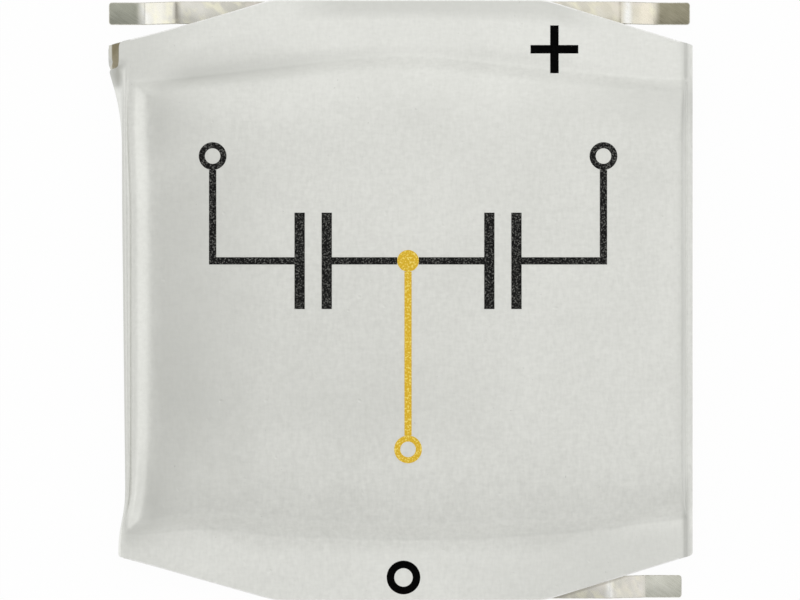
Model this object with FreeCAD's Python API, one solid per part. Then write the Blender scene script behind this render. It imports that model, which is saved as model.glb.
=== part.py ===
"""Flat pouch supercapacitor with three leads: two electrode stacks in series in one foil pouch.

Frame: +Z up through the thickness, +Y along the pouch towards the end with two leads,
+X towards the folded edge. The origin is the middle of the base, on the board's surface.
All sizes are in millimetres.
"""

import FreeCAD
import Part
import math
import os

Vector = FreeCAD.Vector

# Sheet stock
LAMINATE = 0.11  # aluminium and polymer laminate of the pouch
LEAD_THICKNESS = 0.10  # lead strip, and the barrier film whose notches hold the leads
PLATE = 0.05  # electrode: aluminium foil with carbon on both faces
FOIL = 0.02  # bare foil of an electrode's tab
SEPARATOR = 0.025  # porous separator web
PATCH = 0.03  # insulating patch on a weld pad
PLATES_PER_CELL = 5
STACK_PLAY = 0.02  # free height above and below each stack

# Pouch, seen from above
LENGTH = 20.0  # over the two sealed ends
WIDTH = 19.5  # from the seam's open corner to the folded edge
TIP_WIDTH = 9.15  # straight middle of each sealed end
TIP_CENTRE = 0.245  # the straight middle's offset from the origin
FOLD_TAPER = 1.47  # how far a tapered end falls back at the folded edge
SEAM_TAPER = 1.50  # and at the seam's outer edge
FOLD_CORNER_ROUND = 0.12  # corners of the folded edge
END_SEAL = 1.80  # width of the heat seal along the straight middle
TAPER_SEAL = 1.40  # width of the heat seal along a taper

# Pouch walls: how far each one runs inwards while it rises to the flat face
SEAM_SIDE_RUN = 0.85
FOLD_SIDE_RUN = 0.14
END_RUN = 0.80
SEAM_LEDGE = 0.10  # flat between the seam's root and the wall
FOLD_LEDGE = 0.02  # flat between the fold's round and the wall
CORNER_CUT = 0.45  # short edge across each corner of the pocket, at its foot
WALL_STEPS = 8  # facets from the foot of a wall to the flat face

# Side seam, folded down against the pouch and spread flat at one corner
SEAM_ROOT = 0.75  # from the seam's spread edge in to the start of its bend
SEAM_BEND = 0.08  # from the start of the bend to its corner
SEAM_WIDTH = 0.50  # folded lip
SEAM_FOLD = 88.0  # degrees down from flat, along the body
SEAM_TAIL_FOLD = 65.0  # degrees down from flat, at the single-lead end
SPREAD_FLAT = 2.25  # the seam lies flat for this far in from the two-lead end
SPREAD_LENGTH = 1.85  # and folds down over this length
TAIL_LENGTH = 3.40  # the lip opens over this length at the single-lead end
SEAM_STEPS = 8  # sections in each change of fold
BEND_STEPS = 6  # facets across the lip
FILM_SHOWS = 0.38  # strip of film left bare at the seam's flat corner

# Leads
LEAD_WIDTH = 0.75
LEAD_INSET = 0.05  # from the pouch's end to the lead's outer edge
FOOT_LENGTH = 1.15
FOOT_ROUND = 0.10
BEND_RADIUS = 0.25  # middle of the strip, at both bends of the step
NECK_WIDTH = 2.0  # of the leg that passes through the seal to the weld pad
NECK_OUTER = 4.60  # from the origin to the neck's outer edge
PAD_INSIDE = 1.30  # weld pad, from the seal's inner edge into the pouch
LEAD_PLAY = 0.03  # between a lead and its notch in the film
RELIEF = 0.10  # lower sheet cut back around a lead's step
POSITIVE_STEP = 1.28  # length over which a lead steps down to its foot
NEGATIVE_STEP = 1.20
BALANCE_STEP = 1.35
POSITIVE_SETBACK = 0.07  # from the overall width in to the foot's end
NEGATIVE_SETBACK = 0.0
BALANCE_SETBACK = 0.35

# Electrode stacks
SIDE_PLAY = 0.12  # from the pouch's inner wall to the separator's fold
END_PLAY = 0.18  # from the pouch's inner wall to the separator's edge
PLATE_SETBACK = 0.15  # plate edge inside the separator's edge
TAB_WIDTH = 1.6
TAB_CLEAR = 0.06  # a tab runs straight this far past the separator
WELD_LENGTH = 0.70
PATCH_OVERLAP = 0.30  # insulating patch past the weld pad on each side
PATCH_SHORT = 0.25  # from the seal's inner edge to the patch

# Heights that follow from the stock
STACK = PLATES_PER_CELL * PLATE + (PLATES_PER_CELL + 1) * SEPARATOR
CELL = STACK + 2 * STACK_PLAY
THICKNESS = 2 * (LAMINATE + CELL) + LEAD_THICKNESS
MID = THICKNESS / 2
GAP = LEAD_THICKNESS / 2  # half the gap between the two sheets at the seals
SEAL = GAP + LAMINATE  # half the thickness of a seal
RISE = MID - SEAL  # from a seal's face to the flat face

# Places that follow from the plan
FOLD_X = WIDTH / 2
SEAM_X = -WIDTH / 2
ROOT_X = SEAM_X + SEAM_ROOT
BEND_X = ROOT_X - SEAM_BEND
SPREAD_WIDTH = BEND_X - SEAM_X
TIP_LEFT = TIP_CENTRE - TIP_WIDTH / 2
TIP_RIGHT = TIP_CENTRE + TIP_WIDTH / 2
END_Y = LENGTH / 2
FOLD_CORNER = END_Y - FOLD_TAPER
SEAM_CORNER = END_Y - SEAM_TAPER
SPREAD_Y = END_Y - SPREAD_FLAT
LEAD_OUT_Y = END_Y - LEAD_INSET
LEAD_IN_Y = LEAD_OUT_Y - LEAD_WIDTH
PAD_Y = END_Y - END_SEAL - PAD_INSIDE
SIDE_CORNERS = (0, 3, 4, 7)  # the outline's corners between a taper and a side
BEYOND = LENGTH / 4  # cutters reach this far past the pouch


def taper_y(x):
    """Y of the tapered end's edge at x, on the seam side."""
    slope = (END_Y - SEAM_CORNER) / (TIP_LEFT - SEAM_X)
    return END_Y - (TIP_LEFT - x) * slope


def end_outline(seam_x):
    """The pouch from above, anticlockwise, cut off at seam_x on the seam side."""
    corner = taper_y(seam_x)
    return [
        (seam_x, -corner),
        (TIP_LEFT, -END_Y),
        (TIP_RIGHT, -END_Y),
        (FOLD_X, -FOLD_CORNER),
        (FOLD_X, FOLD_CORNER),
        (TIP_RIGHT, END_Y),
        (TIP_LEFT, END_Y),
        (seam_x, corner),
    ]


def inset(points, distances):
    """The outline with each edge moved inwards by its own distance."""
    moved = []
    for (x0, y0), (x1, y1), distance in zip(points, points[1:] + points[:1], distances):
        length = math.hypot(x1 - x0, y1 - y0)
        direction = ((x1 - x0) / length, (y1 - y0) / length)
        start = (x0 - direction[1] * distance, y0 + direction[0] * distance)
        moved.append((start, direction))
    corners = []
    for (p, d), (q, e) in zip(moved[-1:] + moved[:-1], moved):
        cross = d[0] * e[1] - d[1] * e[0]
        along = ((q[0] - p[0]) * e[1] - (q[1] - p[1]) * e[0]) / cross
        corners.append((p[0] + d[0] * along, p[1] + d[1] * along))
    return corners


def by_side(seam_side, fold_side, taper, tip):
    """One value for each edge of the outline, in its order."""
    return [taper, tip, taper, fold_side, taper, tip, taper, seam_side]


def with_corners_cut(points, values, corners, cut):
    """The outline with a short edge across some corners, and its edges' values to match.

    A short edge's value is the mean of its neighbours' values.
    """
    new_points, new_values = [], []
    for index, (x, y) in enumerate(points):
        before, after = points[index - 1], points[(index + 1) % len(points)]
        if index in corners:
            for other in (before, after):
                share = cut / math.hypot(other[0] - x, other[1] - y)
                new_points.append((x + (other[0] - x) * share, y + (other[1] - y) * share))
            new_values.append((values[index - 1] + values[index]) / 2)
        else:
            new_points.append((x, y))
        new_values.append(values[index])
    return new_points, new_values


def flat_face(loop):
    return Part.Face(Part.makePolygon(loop + loop[:1]))


def solid_from(loops):
    """The solid that these flat faces enclose."""
    solid = Part.makeSolid(Part.makeShell([flat_face(loop) for loop in loops]))
    return solid if solid.Volume > 0 else solid.reversed()


def prism(points, low, high):
    loop = [Vector(x, y, low) for x, y in points]
    return flat_face(loop).extrude(Vector(0, 0, high - low))


def block(x0, x1, y0, y1, z0, z1):
    corner = Vector(min(x0, x1), min(y0, y1), min(z0, z1))
    return Part.makeBox(abs(x1 - x0), abs(y1 - y0), abs(z1 - z0), corner)


def under(shape):
    """The same shape on the lower side of the seal's middle plane."""
    return shape.mirror(Vector(0, 0, MID), Vector(0, 0, 1))


def joined(shapes):
    return shapes[0].fuse(shapes[1:]).removeSplitter()


# The pocket that is pressed into each half of the sheet


def eased(share):
    return (1 - math.cos(math.pi * share)) / 2


def pocket_levels(depth):
    """Outlines from the pocket's foot to its face, with their heights.

    depth is how far the surface lies inside the sheet's outer face.
    """
    ledges = by_side(SEAM_LEDGE, SEAL + FOLD_LEDGE, TAPER_SEAL, END_SEAL)
    foot = inset(end_outline(ROOT_X), ledges)
    runs = by_side(SEAM_SIDE_RUN, FOLD_SIDE_RUN, END_RUN, END_RUN)
    foot, runs = with_corners_cut(foot, runs, SIDE_CORNERS, CORNER_CUT)
    shift = [depth * math.tan(math.atan2(RISE, run) / 2) for run in runs]
    levels = []
    for step in range(WALL_STEPS + 1):
        share = step / WALL_STEPS
        distances = [run * share + extra for run, extra in zip(runs, shift)]
        levels.append((inset(foot, distances), MID + SEAL - depth + RISE * eased(share)))
    return levels


def pocket(depth):
    """The upper pocket's volume: depth 0 is its outer surface, LAMINATE its inner one."""
    rows = [[Vector(x, y, z) for x, y in outline] for outline, z in pocket_levels(depth)]
    loops = [rows[0], rows[-1]]
    for row, following in zip(rows, rows[1:]):
        for index in range(len(row)):
            loops.append([row[index - 1], row[index], following[index], following[index - 1]])
    return solid_from(loops)


# The side seam: three layers that share the same curved sections


def seam_stations():
    """(Y, fold in degrees, lip width) along the seam, from one end to the other."""
    stations = [(-END_Y, SEAM_TAIL_FOLD, SEAM_WIDTH)]
    tail_end = -taper_y(BEND_X)
    for step in range(SEAM_STEPS + 1):
        share = step / SEAM_STEPS
        y = tail_end + (TAIL_LENGTH - END_Y - tail_end) * share
        fold = SEAM_TAIL_FOLD + (SEAM_FOLD - SEAM_TAIL_FOLD) * eased(share)
        stations.append((y, fold, SEAM_WIDTH))
    for step in range(SEAM_STEPS + 1):
        share = step / SEAM_STEPS
        y = SPREAD_Y - SPREAD_LENGTH * (1 - share)
        fold = SEAM_FOLD * (1 - eased(share))
        width = SEAM_WIDTH + (SPREAD_WIDTH - SEAM_WIDTH) * eased(share) ** 2
        stations.append((y, fold, width))
    stations.append((END_Y, 0.0, SPREAD_WIDTH))
    return stations


def seam_curve(y, fold, width, offset):
    """Points across the lip from its root to its edge, offset from the seam's middle surface."""
    angle = math.radians(fold)
    along = Vector(-math.cos(angle), 0, -math.sin(angle))
    out = Vector(-math.sin(angle), 0, math.cos(angle))
    bend = Vector(BEND_X, y, MID)
    root = Vector(ROOT_X, y, MID + offset)
    corner = bend + out * offset - along * (offset * math.tan(angle / 2))
    edge = bend + along * width + out * offset
    points = []
    for step in range(BEND_STEPS + 1):
        t = step / BEND_STEPS
        points.append(root * (1 - t) ** 2 + corner * (2 * t * (1 - t)) + edge * t**2)
    return points


def seam_layer(low, high):
    """One layer of the folded seam, between two offsets from its middle surface.

    Each change of fold is split into flat triangles, the same ones for two layers that touch.
    """
    tops = [seam_curve(*station, high) for station in seam_stations()]
    bottoms = [seam_curve(*station, low) for station in seam_stations()]
    loops = [tops[0] + bottoms[0][::-1], tops[-1] + bottoms[-1][::-1]]
    for rows in (tops, bottoms):
        for row, following in zip(rows, rows[1:]):
            for index in range(BEND_STEPS):
                loops.append([row[index], row[index + 1], following[index + 1]])
                loops.append([row[index], following[index + 1], following[index]])
    for index in (0, BEND_STEPS):
        for step in range(len(tops) - 1):
            loops.append([tops[step][index], bottoms[step][index], bottoms[step + 1][index]])
            loops.append([tops[step][index], bottoms[step + 1][index], tops[step + 1][index]])
    strip = solid_from(loops)
    return strip.common(prism(end_outline(SEAM_X - BEYOND), -BEYOND, THICKNESS + BEYOND))


# The pouch: one sheet, folded along +X and sealed on its other three sides


def folded_flat():
    """Both seals and the fold as a solid slab with a round folded edge."""
    centre_x = FOLD_X - SEAL
    low, high = MID - SEAL, MID + SEAL
    start = Vector(SEAM_X - BEYOND, -END_Y - BEYOND, 0)
    points = [
        Vector(start.x, start.y, high),
        Vector(centre_x, start.y, high),
        Vector(FOLD_X, start.y, MID),
        Vector(centre_x, start.y, low),
        Vector(start.x, start.y, low),
    ]
    edges = [
        Part.makeLine(points[0], points[1]),
        Part.Arc(points[1], points[2], points[3]).toShape(),
        Part.makeLine(points[3], points[4]),
        Part.makeLine(points[4], points[0]),
    ]
    slab = Part.Face(Part.Wire(edges)).extrude(Vector(0, LENGTH + 2 * BEYOND, 0))
    plan = prism(end_outline(ROOT_X), 0, THICKNESS)
    corners = [
        e
        for e in plan.Edges
        if e.BoundBox.XMin > FOLD_X - SEAL and e.BoundBox.ZLength > MID
    ]
    return slab.common(plan.makeFillet(FOLD_CORNER_ROUND, corners))


def laminate_pouch(leads):
    outer = joined([folded_flat(), pocket(0), under(pocket(0))])
    gap = block(SEAM_X - BEYOND, FOLD_X - LAMINATE, -LENGTH, LENGTH, MID - GAP, MID + GAP)
    sheet = outer.cut([pocket(LAMINATE), under(pocket(LAMINATE)), gap])
    upper_lip = seam_layer(GAP, SEAL)
    bare = block(SEAM_X - BEYOND, SEAM_X + FILM_SHOWS, SPREAD_Y, LENGTH, 0, THICKNESS)
    sheet = joined([sheet, upper_lip.cut(bare), seam_layer(-SEAL, -GAP)])
    return sheet.cut([lead.relief() for lead in leads]).removeSplitter()


# Leads


class Lead:
    """One lead strip: a weld pad and neck inside the seal, a run along the end and a stepped foot.

    It is drawn for the +X, +Y corner and mirrored to side (1 or -1) and end (1 or -1).
    """

    def __init__(self, side, end, step_length, setback):
        self.side = side
        self.end = end
        self.foot_end = FOLD_X - setback
        self.foot_start = self.foot_end - FOOT_LENGTH
        self.step = self.foot_start - step_length

    def placed(self, shape):
        if self.side < 0:
            shape = shape.mirror(Vector(0, 0, 0), Vector(1, 0, 0))
        if self.end < 0:
            shape = shape.mirror(Vector(0, 0, 0), Vector(0, 1, 0))
        return shape

    def neck_edges(self):
        return NECK_OUTER - NECK_WIDTH, NECK_OUTER

    def strip_profile(self):
        """Run, step and foot from the side: the step is two bends and a straight slope."""
        inner, outer = BEND_RADIUS - GAP, BEND_RADIUS + GAP
        first = Vector(self.step, 0, MID - BEND_RADIUS)
        second = Vector(self.foot_start, 0, GAP + BEND_RADIUS)
        apart = second - first
        slope = math.asin(2 * BEND_RADIUS / apart.Length) - math.atan2(apart.z, apart.x)

        def on(centre, radius, angle, way):
            return centre + Vector(math.sin(angle), 0, math.cos(angle)) * (radius * way)

        def arc(centre, radius, start, stop, way):
            angles = (start, (start + stop) / 2, stop)
            return Part.Arc(*[on(centre, radius, a, way) for a in angles]).toShape()

        run_start = self.neck_edges()[0]
        top = Vector(run_start, 0, MID + GAP)
        bottom = Vector(run_start, 0, MID - GAP)
        heel = Vector(self.foot_end, 0, 2 * GAP)
        toe = Vector(self.foot_end, 0, 0)
        edges = [
            Part.makeLine(top, on(first, outer, 0, 1)),
            arc(first, outer, 0, slope, 1),
            Part.makeLine(on(first, outer, slope, 1), on(second, inner, slope, -1)),
            arc(second, inner, slope, 0, -1),
            Part.makeLine(on(second, inner, 0, -1), heel),
            Part.makeLine(heel, toe),
            Part.makeLine(toe, on(second, outer, 0, -1)),
            arc(second, outer, 0, slope, -1),
            Part.makeLine(on(second, outer, slope, -1), on(first, inner, slope, 1)),
            arc(first, inner, slope, 0, 1),
            Part.makeLine(on(first, inner, 0, 1), bottom),
            Part.makeLine(bottom, top),
        ]
        return Part.Face(Part.Wire(edges))

    def solid(self):
        strip = self.strip_profile().extrude(Vector(0, LEAD_WIDTH, 0))
        strip.translate(Vector(0, LEAD_IN_Y, 0))
        toes = [
            e
            for e in strip.Edges
            if e.BoundBox.XMin > self.foot_end - GAP and e.BoundBox.ZLength > GAP
        ]
        strip = strip.makeFillet(FOOT_ROUND, toes)
        neck = block(*self.neck_edges(), PAD_Y, LEAD_OUT_Y, MID - GAP, MID + GAP)
        return self.placed(joined([strip, neck]))

    def notch(self):
        """What the barrier film leaves free for this lead."""
        left, right = self.neck_edges()
        low, high = MID - 2 * GAP, MID + 2 * GAP
        beyond_end = END_Y + BEYOND
        neck = block(left - LEAD_PLAY, right + LEAD_PLAY, PAD_Y - LEAD_PLAY, beyond_end, low, high)
        run = block(left - LEAD_PLAY, FOLD_X, LEAD_IN_Y - LEAD_PLAY, beyond_end, low, high)
        return self.placed(neck.fuse(run))

    def relief(self):
        """What the lower sheet leaves free below the step."""
        low_y = LEAD_IN_Y - RELIEF
        return self.placed(block(self.step - RELIEF, FOLD_X, low_y, END_Y + BEYOND, 0, MID))

    def pad_patch(self):
        """Insulating patch over one face of the weld pad, on the film's upper side."""
        left, right = self.neck_edges()
        near = PAD_Y - PATCH_OVERLAP
        far = END_Y - END_SEAL - PATCH_SHORT
        wide = block(left - PATCH_OVERLAP, right + PATCH_OVERLAP, near, far, 0, PATCH)
        wide.translate(Vector(0, 0, MID + GAP))
        return self.placed(wide)


def barrier_film(leads):
    """Film between the two cells, sealed into the seam and both ends."""
    flat = prism(end_outline(ROOT_X), MID - GAP, MID + GAP)
    inner_fold = FOLD_X - LAMINATE - STACK_PLAY
    spare = block(inner_fold, FOLD_X + BEYOND, -LENGTH, LENGTH, 0, THICKNESS)
    film = joined([flat.cut(spare), seam_layer(-GAP, GAP)])
    return film.cut([lead.notch() for lead in leads]).removeSplitter()


# Electrode stacks: plates in the pleats of one fan-folded separator


def stack_box():
    """(left, right, half length) of the separator's flat layers, clear of the pouch's inner face."""
    face = pocket_levels(LAMINATE)[-1][0]
    left = min(x for x, y in face)
    right = max(x for x, y in face)
    half = min(abs(y) for x, y in face)
    reach = SIDE_PLAY + PLATE / 2 + SEPARATOR
    return left + reach, right - reach, half - END_PLAY


def layer_height(index):
    """Middle of the upper stack's separator layer number index, counted from the film."""
    pitch = PLATE + SEPARATOR
    return MID + GAP + STACK_PLAY + SEPARATOR / 2 + pitch * index


def separator():
    """Fan-folded web of the upper stack: flat layers joined by half-round pleats."""
    left, right, half = stack_box()
    t = SEPARATOR / 2

    def point(x, z):
        return Vector(x, -half, z)

    edges = []
    for index in range(PLATES_PER_CELL + 1):
        z = layer_height(index)
        for side in (-t, t):
            edges.append(Part.makeLine(point(left, z + side), point(right, z + side)))
    for index in range(PLATES_PER_CELL):
        low, high = layer_height(index), layer_height(index + 1)
        x, way = (right, 1) if index % 2 == 0 else (left, -1)
        for side in (-t, t):
            reach = way * ((high - low) / 2 - side)
            arc = Part.Arc(
                point(x, low + side),
                point(x + reach, (low + high) / 2),
                point(x, high - side),
            )
            edges.append(arc.toShape())
    last_x = right if PLATES_PER_CELL % 2 == 0 else left
    for x, index in ((left, 0), (last_x, PLATES_PER_CELL)):
        z = layer_height(index)
        edges.append(Part.makeLine(point(x, z - t), point(x, z + t)))
    outline = Part.Wire(Part.__sortEdges__(edges))
    return Part.Face(outline).extrude(Vector(0, 2 * half, 0))


def plate(number, side, end):
    """Plate of the upper stack, counted from 1 at the film, with its tab on a weld pad.

    Plates that share a pad lie every second place, so their tabs lie on each other there.
    """
    left, right, half = stack_box()
    z = (layer_height(number - 1) + layer_height(number)) / 2
    edge = half - PLATE_SETBACK
    body = block(left + PLATE_SETBACK, right - PLATE_SETBACK, -edge, edge, z - PLATE / 2, z + PLATE / 2)
    weld_z = MID + GAP + FOIL * ((number - 1) // 2) + FOIL / 2
    weld_end = PAD_Y + LEAD_PLAY + WELD_LENGTH
    route = [
        (edge - PLATE_SETBACK, z),
        (half + TAB_CLEAR, z),
        (PAD_Y + LEAD_PLAY, weld_z),
        (weld_end, weld_z),
    ]
    middle = NECK_OUTER - NECK_WIDTH / 2
    x = middle - TAB_WIDTH / 2
    loop = [Vector(x, y, h - FOIL / 2) for y, h in route]
    loop += [Vector(x, y, h + FOIL / 2) for y, h in reversed(route)]
    tab = flat_face(loop).extrude(Vector(TAB_WIDTH, 0, 0))
    if side < 0:
        tab = tab.mirror(Vector(0, 0, 0), Vector(1, 0, 0))
    if end < 0:
        tab = tab.mirror(Vector(0, 0, 0), Vector(0, 1, 0))
    return joined([body, tab])


def cell(prefix, end_lead, end_name, middle_name, turned):
    """Nodes of one stack: odd plates go to the balance lead, even ones to the stack's end lead."""
    place = under if turned else (lambda shape: shape)
    nodes = {prefix + "_separator": place(separator())}
    for number in range(1, PLATES_PER_CELL + 1):
        at_middle = number % 2 == 1
        name = middle_name if at_middle else end_name
        side, end = (1, -1) if at_middle else (end_lead.side, end_lead.end)
        node = f"{prefix}_{name}_plate_{(number + 1) // 2}"
        nodes[node] = place(plate(number, side, end))
    return nodes


def build():
    positive = Lead(1, 1, POSITIVE_STEP, POSITIVE_SETBACK)
    negative = Lead(-1, 1, NEGATIVE_STEP, NEGATIVE_SETBACK)
    balance = Lead(1, -1, BALANCE_STEP, BALANCE_SETBACK)
    leads = [positive, negative, balance]
    nodes = {
        "laminate_pouch": laminate_pouch(leads),
        "barrier_film": barrier_film(leads),
        "positive_terminal": positive.solid(),
        "negative_terminal": negative.solid(),
        "balance_terminal": balance.solid(),
        "positive_pad_patch": under(positive.pad_patch()),
        "negative_pad_patch": negative.pad_patch(),
    }
    nodes.update(cell("upper", positive, "positive", "negative", False))
    nodes.update(cell("lower", negative, "negative", "positive", True))
    return nodes


def main():
    os.makedirs("parts", exist_ok=True)
    for name, shape in build().items():
        shape.exportStep(os.path.join("parts", name + ".step"))
        box = shape.BoundBox
        print(
            f"{name}: {len(shape.Solids)} solid, {shape.Volume:.3f} mm3, valid {shape.isValid()}, "
            f"x {box.XMin:.3f}..{box.XMax:.3f} y {box.YMin:.3f}..{box.YMax:.3f} "
            f"z {box.ZMin:.3f}..{box.ZMax:.3f}"
        )


main()
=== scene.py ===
# %% [markdown]
# # A flat pouch supercapacitor in three tools' shared frame
#
# The packed model gives the sizes and places of every piece. This lesson gives the pieces that show
# their final form and finish: one folded foil pouch, the film in its seal, three bent lead strips and
# the print on top. Everything is modelled at one unit to the millimetre, because Blender's operators
# have thresholds that suit numbers near one, and is shrunk to metres at the end.

# %% Load the frame and keep its box
import math

import bmesh
import bpy
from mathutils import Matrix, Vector


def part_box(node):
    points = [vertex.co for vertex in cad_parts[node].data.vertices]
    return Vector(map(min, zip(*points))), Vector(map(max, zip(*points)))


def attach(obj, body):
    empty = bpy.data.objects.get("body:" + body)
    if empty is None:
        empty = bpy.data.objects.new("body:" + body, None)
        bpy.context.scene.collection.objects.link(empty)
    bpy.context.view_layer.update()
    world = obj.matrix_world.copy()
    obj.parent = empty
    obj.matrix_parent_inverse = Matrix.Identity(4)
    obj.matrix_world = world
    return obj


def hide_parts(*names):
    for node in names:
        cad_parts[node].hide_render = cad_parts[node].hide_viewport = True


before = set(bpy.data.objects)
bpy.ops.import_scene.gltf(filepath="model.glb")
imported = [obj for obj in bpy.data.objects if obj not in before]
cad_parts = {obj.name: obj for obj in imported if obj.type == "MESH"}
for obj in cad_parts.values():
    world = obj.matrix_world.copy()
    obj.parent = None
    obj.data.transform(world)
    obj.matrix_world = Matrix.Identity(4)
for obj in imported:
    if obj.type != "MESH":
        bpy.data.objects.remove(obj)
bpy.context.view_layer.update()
MM = 0.001


def box_mm(node):
    """Lowest and highest corner of a packed node, in millimetres."""
    low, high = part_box(node)
    return low / MM, high / MM


pouch_low, pouch_high = box_mm("laminate_pouch")
mid_z = (pouch_low.z + pouch_high.z) / 2
print("pouch in mm", [round(v, 3) for v in pouch_high - pouch_low])

# %% [markdown]
# ## Small helpers for working as by hand
#
# An operator acts on whatever is selected, so each step starts by selecting points by their place.
# `choose` does that in edit mode; `add_modifier` adds a modifier and applies it straight away.
# `between` reads a value off a short table, which is how uneven lines are described here.

# %% Helpers for opening and selecting
pieces = []


def start_piece(name):
    """Names the primitive that was just added and opens it for editing."""
    piece = bpy.context.object
    piece.name = piece.data.name = name
    pieces.append(piece)
    bpy.ops.object.mode_set(mode="EDIT")
    return piece


def deselect_all():
    """Leaves nothing selected, in object mode."""
    if bpy.context.object and bpy.context.object.mode != "OBJECT":
        bpy.ops.object.mode_set(mode="OBJECT")
    bpy.ops.object.select_all(action="DESELECT")


def choose(piece, wanted, kind="VERT"):
    """In edit mode, selects the points, edges or faces whose middle passes the test."""
    bpy.ops.mesh.select_mode(type=kind)
    bpy.ops.mesh.select_all(action="DESELECT")
    mesh = bmesh.from_edit_mesh(piece.data)
    parts = {"VERT": mesh.verts, "EDGE": mesh.edges, "FACE": mesh.faces}[kind]
    for part in parts:
        if kind == "VERT":
            middle = part.co
        else:
            middle = sum((point.co for point in part.verts), Vector()) / len(part.verts)
        if wanted(middle):
            part.select = True
    mesh.select_flush_mode()
    bmesh.update_edit_mesh(piece.data)


def open_piece(piece):
    """Selects one piece alone and opens it for editing."""
    deselect_all()
    piece.select_set(True)
    bpy.context.view_layer.objects.active = piece
    bpy.ops.object.mode_set(mode="EDIT")


# %% Helpers for shaping
WELD = 1e-4  # points closer than this are merged
SNAP = 1e-5  # a cut this close to a point goes through it


def cut(place, normal):
    """One straight cut through the whole of the piece that is open."""
    bpy.ops.mesh.select_all(action="SELECT")
    bpy.ops.mesh.bisect(plane_co=place, plane_no=normal, threshold=SNAP)


def weld():
    """Merges the points of the open piece that lie in one place."""
    bpy.ops.mesh.select_all(action="SELECT")
    bpy.ops.mesh.remove_doubles(threshold=WELD)


def add_modifier(piece, kind, **settings):
    """Adds one modifier with its settings and applies it."""
    modifier = piece.modifiers.new(kind.lower(), kind)
    for key, value in settings.items():
        setattr(modifier, key, value)
    bpy.context.view_layer.objects.active = piece
    bpy.ops.object.modifier_apply(modifier=modifier.name)


print("points weld within", WELD, "mm")

# %% Helpers for places
TOUCH = 1e-3  # places closer than this count as the same


def near(value, target):
    """Whether two numbers are the same place."""
    return abs(value - target) < TOUCH


def eased(share):
    """A soft start and a soft end between 0 and 1."""
    share = min(max(share, 0.0), 1.0)
    return (1 - math.cos(math.pi * share)) / 2


def between(value, places):
    """Straight-line reading from a short list of (place, reading) pairs."""
    if value <= places[0][0]:
        return places[0][1]
    for (x0, y0), (x1, y1) in zip(places, places[1:]):
        if value <= x1:
            return y0 + (y1 - y0) * (value - x0) / (x1 - x0)
    return places[-1][1]


print("halfway between 2 and 4:", between(0.5, ((0, 2), (1, 4))))

# %% [markdown]
# ## The foil pouch
#
# The real pouch is one sheet of aluminium laminate. A press forms a shallow pocket in each half, the
# sheet is folded along one side, and hot bars seal the other three. The model repeats those steps: a
# flat blank with cuts where it will bend, strokes of the press, the fold, the second half as a mirror
# image, then the side seam. A subdivision surface turns the few straight facets into soft foil, and
# Solidify gives the sheet its thickness. Sculpting or a cloth simulation could make soft foil too, but
# a coarse sheet keeps every size in a named number.

# %% Sizes of the pouch, in millimetres
LAMINATE = 0.11
SEAL = 0.16  # half the thickness of a sealed end
rise = pouch_high.z - mid_z - SEAL
fold_x = pouch_high.x
seam_x = pouch_low.x
end_y = pouch_high.y
ROOT = 0.77  # from the seam's spread edge to its root
BEND = 0.15  # from the root to the corner of its fold
CROWN = 0.11  # from the corner to the crown of the folded lip
LIP = 0.50  # width of the folded lip
root_x = seam_x + ROOT
bend_x = root_x - BEND
bow_x = fold_x - SEAL  # where the fold's round starts

# Strokes of the press: share of the pocket's depth, then where the stroke's edge lies, from the root,
# from the fold's round and, at the ends, as a share of the half length
PRESS = (
    (0.10, 0.24, 0.07, 0.824),
    (0.36, 0.42, 0.11, 0.805),
    (0.62, 0.64, 0.15, 0.785),
    (0.74, 0.98, 0.20, 0.762),
    (0.92, 2.06, 0.27, 0.705),
    (1.00, 3.96, 0.50, 0.620),
)
RIDGE = (-0.005, -0.025, -0.035, -0.03, -0.015, 0.0)  # lift of the sealed ends, by the fold
BEAD = 1.05  # the fold itself stays this much thicker there
SEAM_FOOT = 0.05  # from the root to the foot of the left wall
END_FOOT = 0.835  # foot of the end walls, as a share of the half length
FLAP_ROWS = (0.970, 0.936, 0.924, 0.912, 0.892, 0.865)
LOWER_ROWS = (0.845,)  # the lower end's crease is sharper
MIDDLE_ROWS = (0.50, 0.37, 0.23, 0.08)
TIP_LEFT = -4.33  # the straight middle of each end lies between these
TIP_RIGHT = 4.82
TIP_SPREAD = 0.42  # extra cuts this far from a tip keep its corner crisp
DECK_COLUMNS = (-5.8, -2.0, 0.25, 2.6, 6.6, 8.2)
print("the pocket rises", round(rise, 3), "mm in", len(PRESS), "strokes")

# %% The blank and its cuts
lip_columns = [bend_x - LIP, bend_x - LIP / 2, bend_x, bend_x + CROWN, root_x]
left_wall = [root_x + SEAM_FOOT] + [root_x + stroke[1] for stroke in PRESS]
right_wall = [bow_x - stroke[2] for stroke in PRESS]
tips = [tip + step for tip in (TIP_LEFT, TIP_RIGHT) for step in (-TIP_SPREAD, 0, TIP_SPREAD)]
columns = sorted(lip_columns[1:] + left_wall + right_wall + tips + list(DECK_COLUMNS))
shares = [END_FOOT] + [stroke[3] for stroke in PRESS] + list(FLAP_ROWS + MIDDLE_ROWS)
lower_shares = shares + list(LOWER_ROWS)
rows = sorted([share * end_y for share in shares] + [-share * end_y for share in lower_shares])

deselect_all()
bpy.ops.mesh.primitive_plane_add(size=1)
pouch = start_piece("foil_pouch")
bpy.ops.transform.resize(value=(bow_x - lip_columns[0], 2 * end_y, 1))
bpy.ops.transform.translate(value=((bow_x + lip_columns[0]) / 2, 0, mid_z + SEAL))
for x in columns:
    cut((x, 0, 0), (1, 0, 0))
for y in rows:
    cut((0, y, 0), (0, 1, 0))
print(len(columns), "cuts across,", len(rows), "cuts along")

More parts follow.
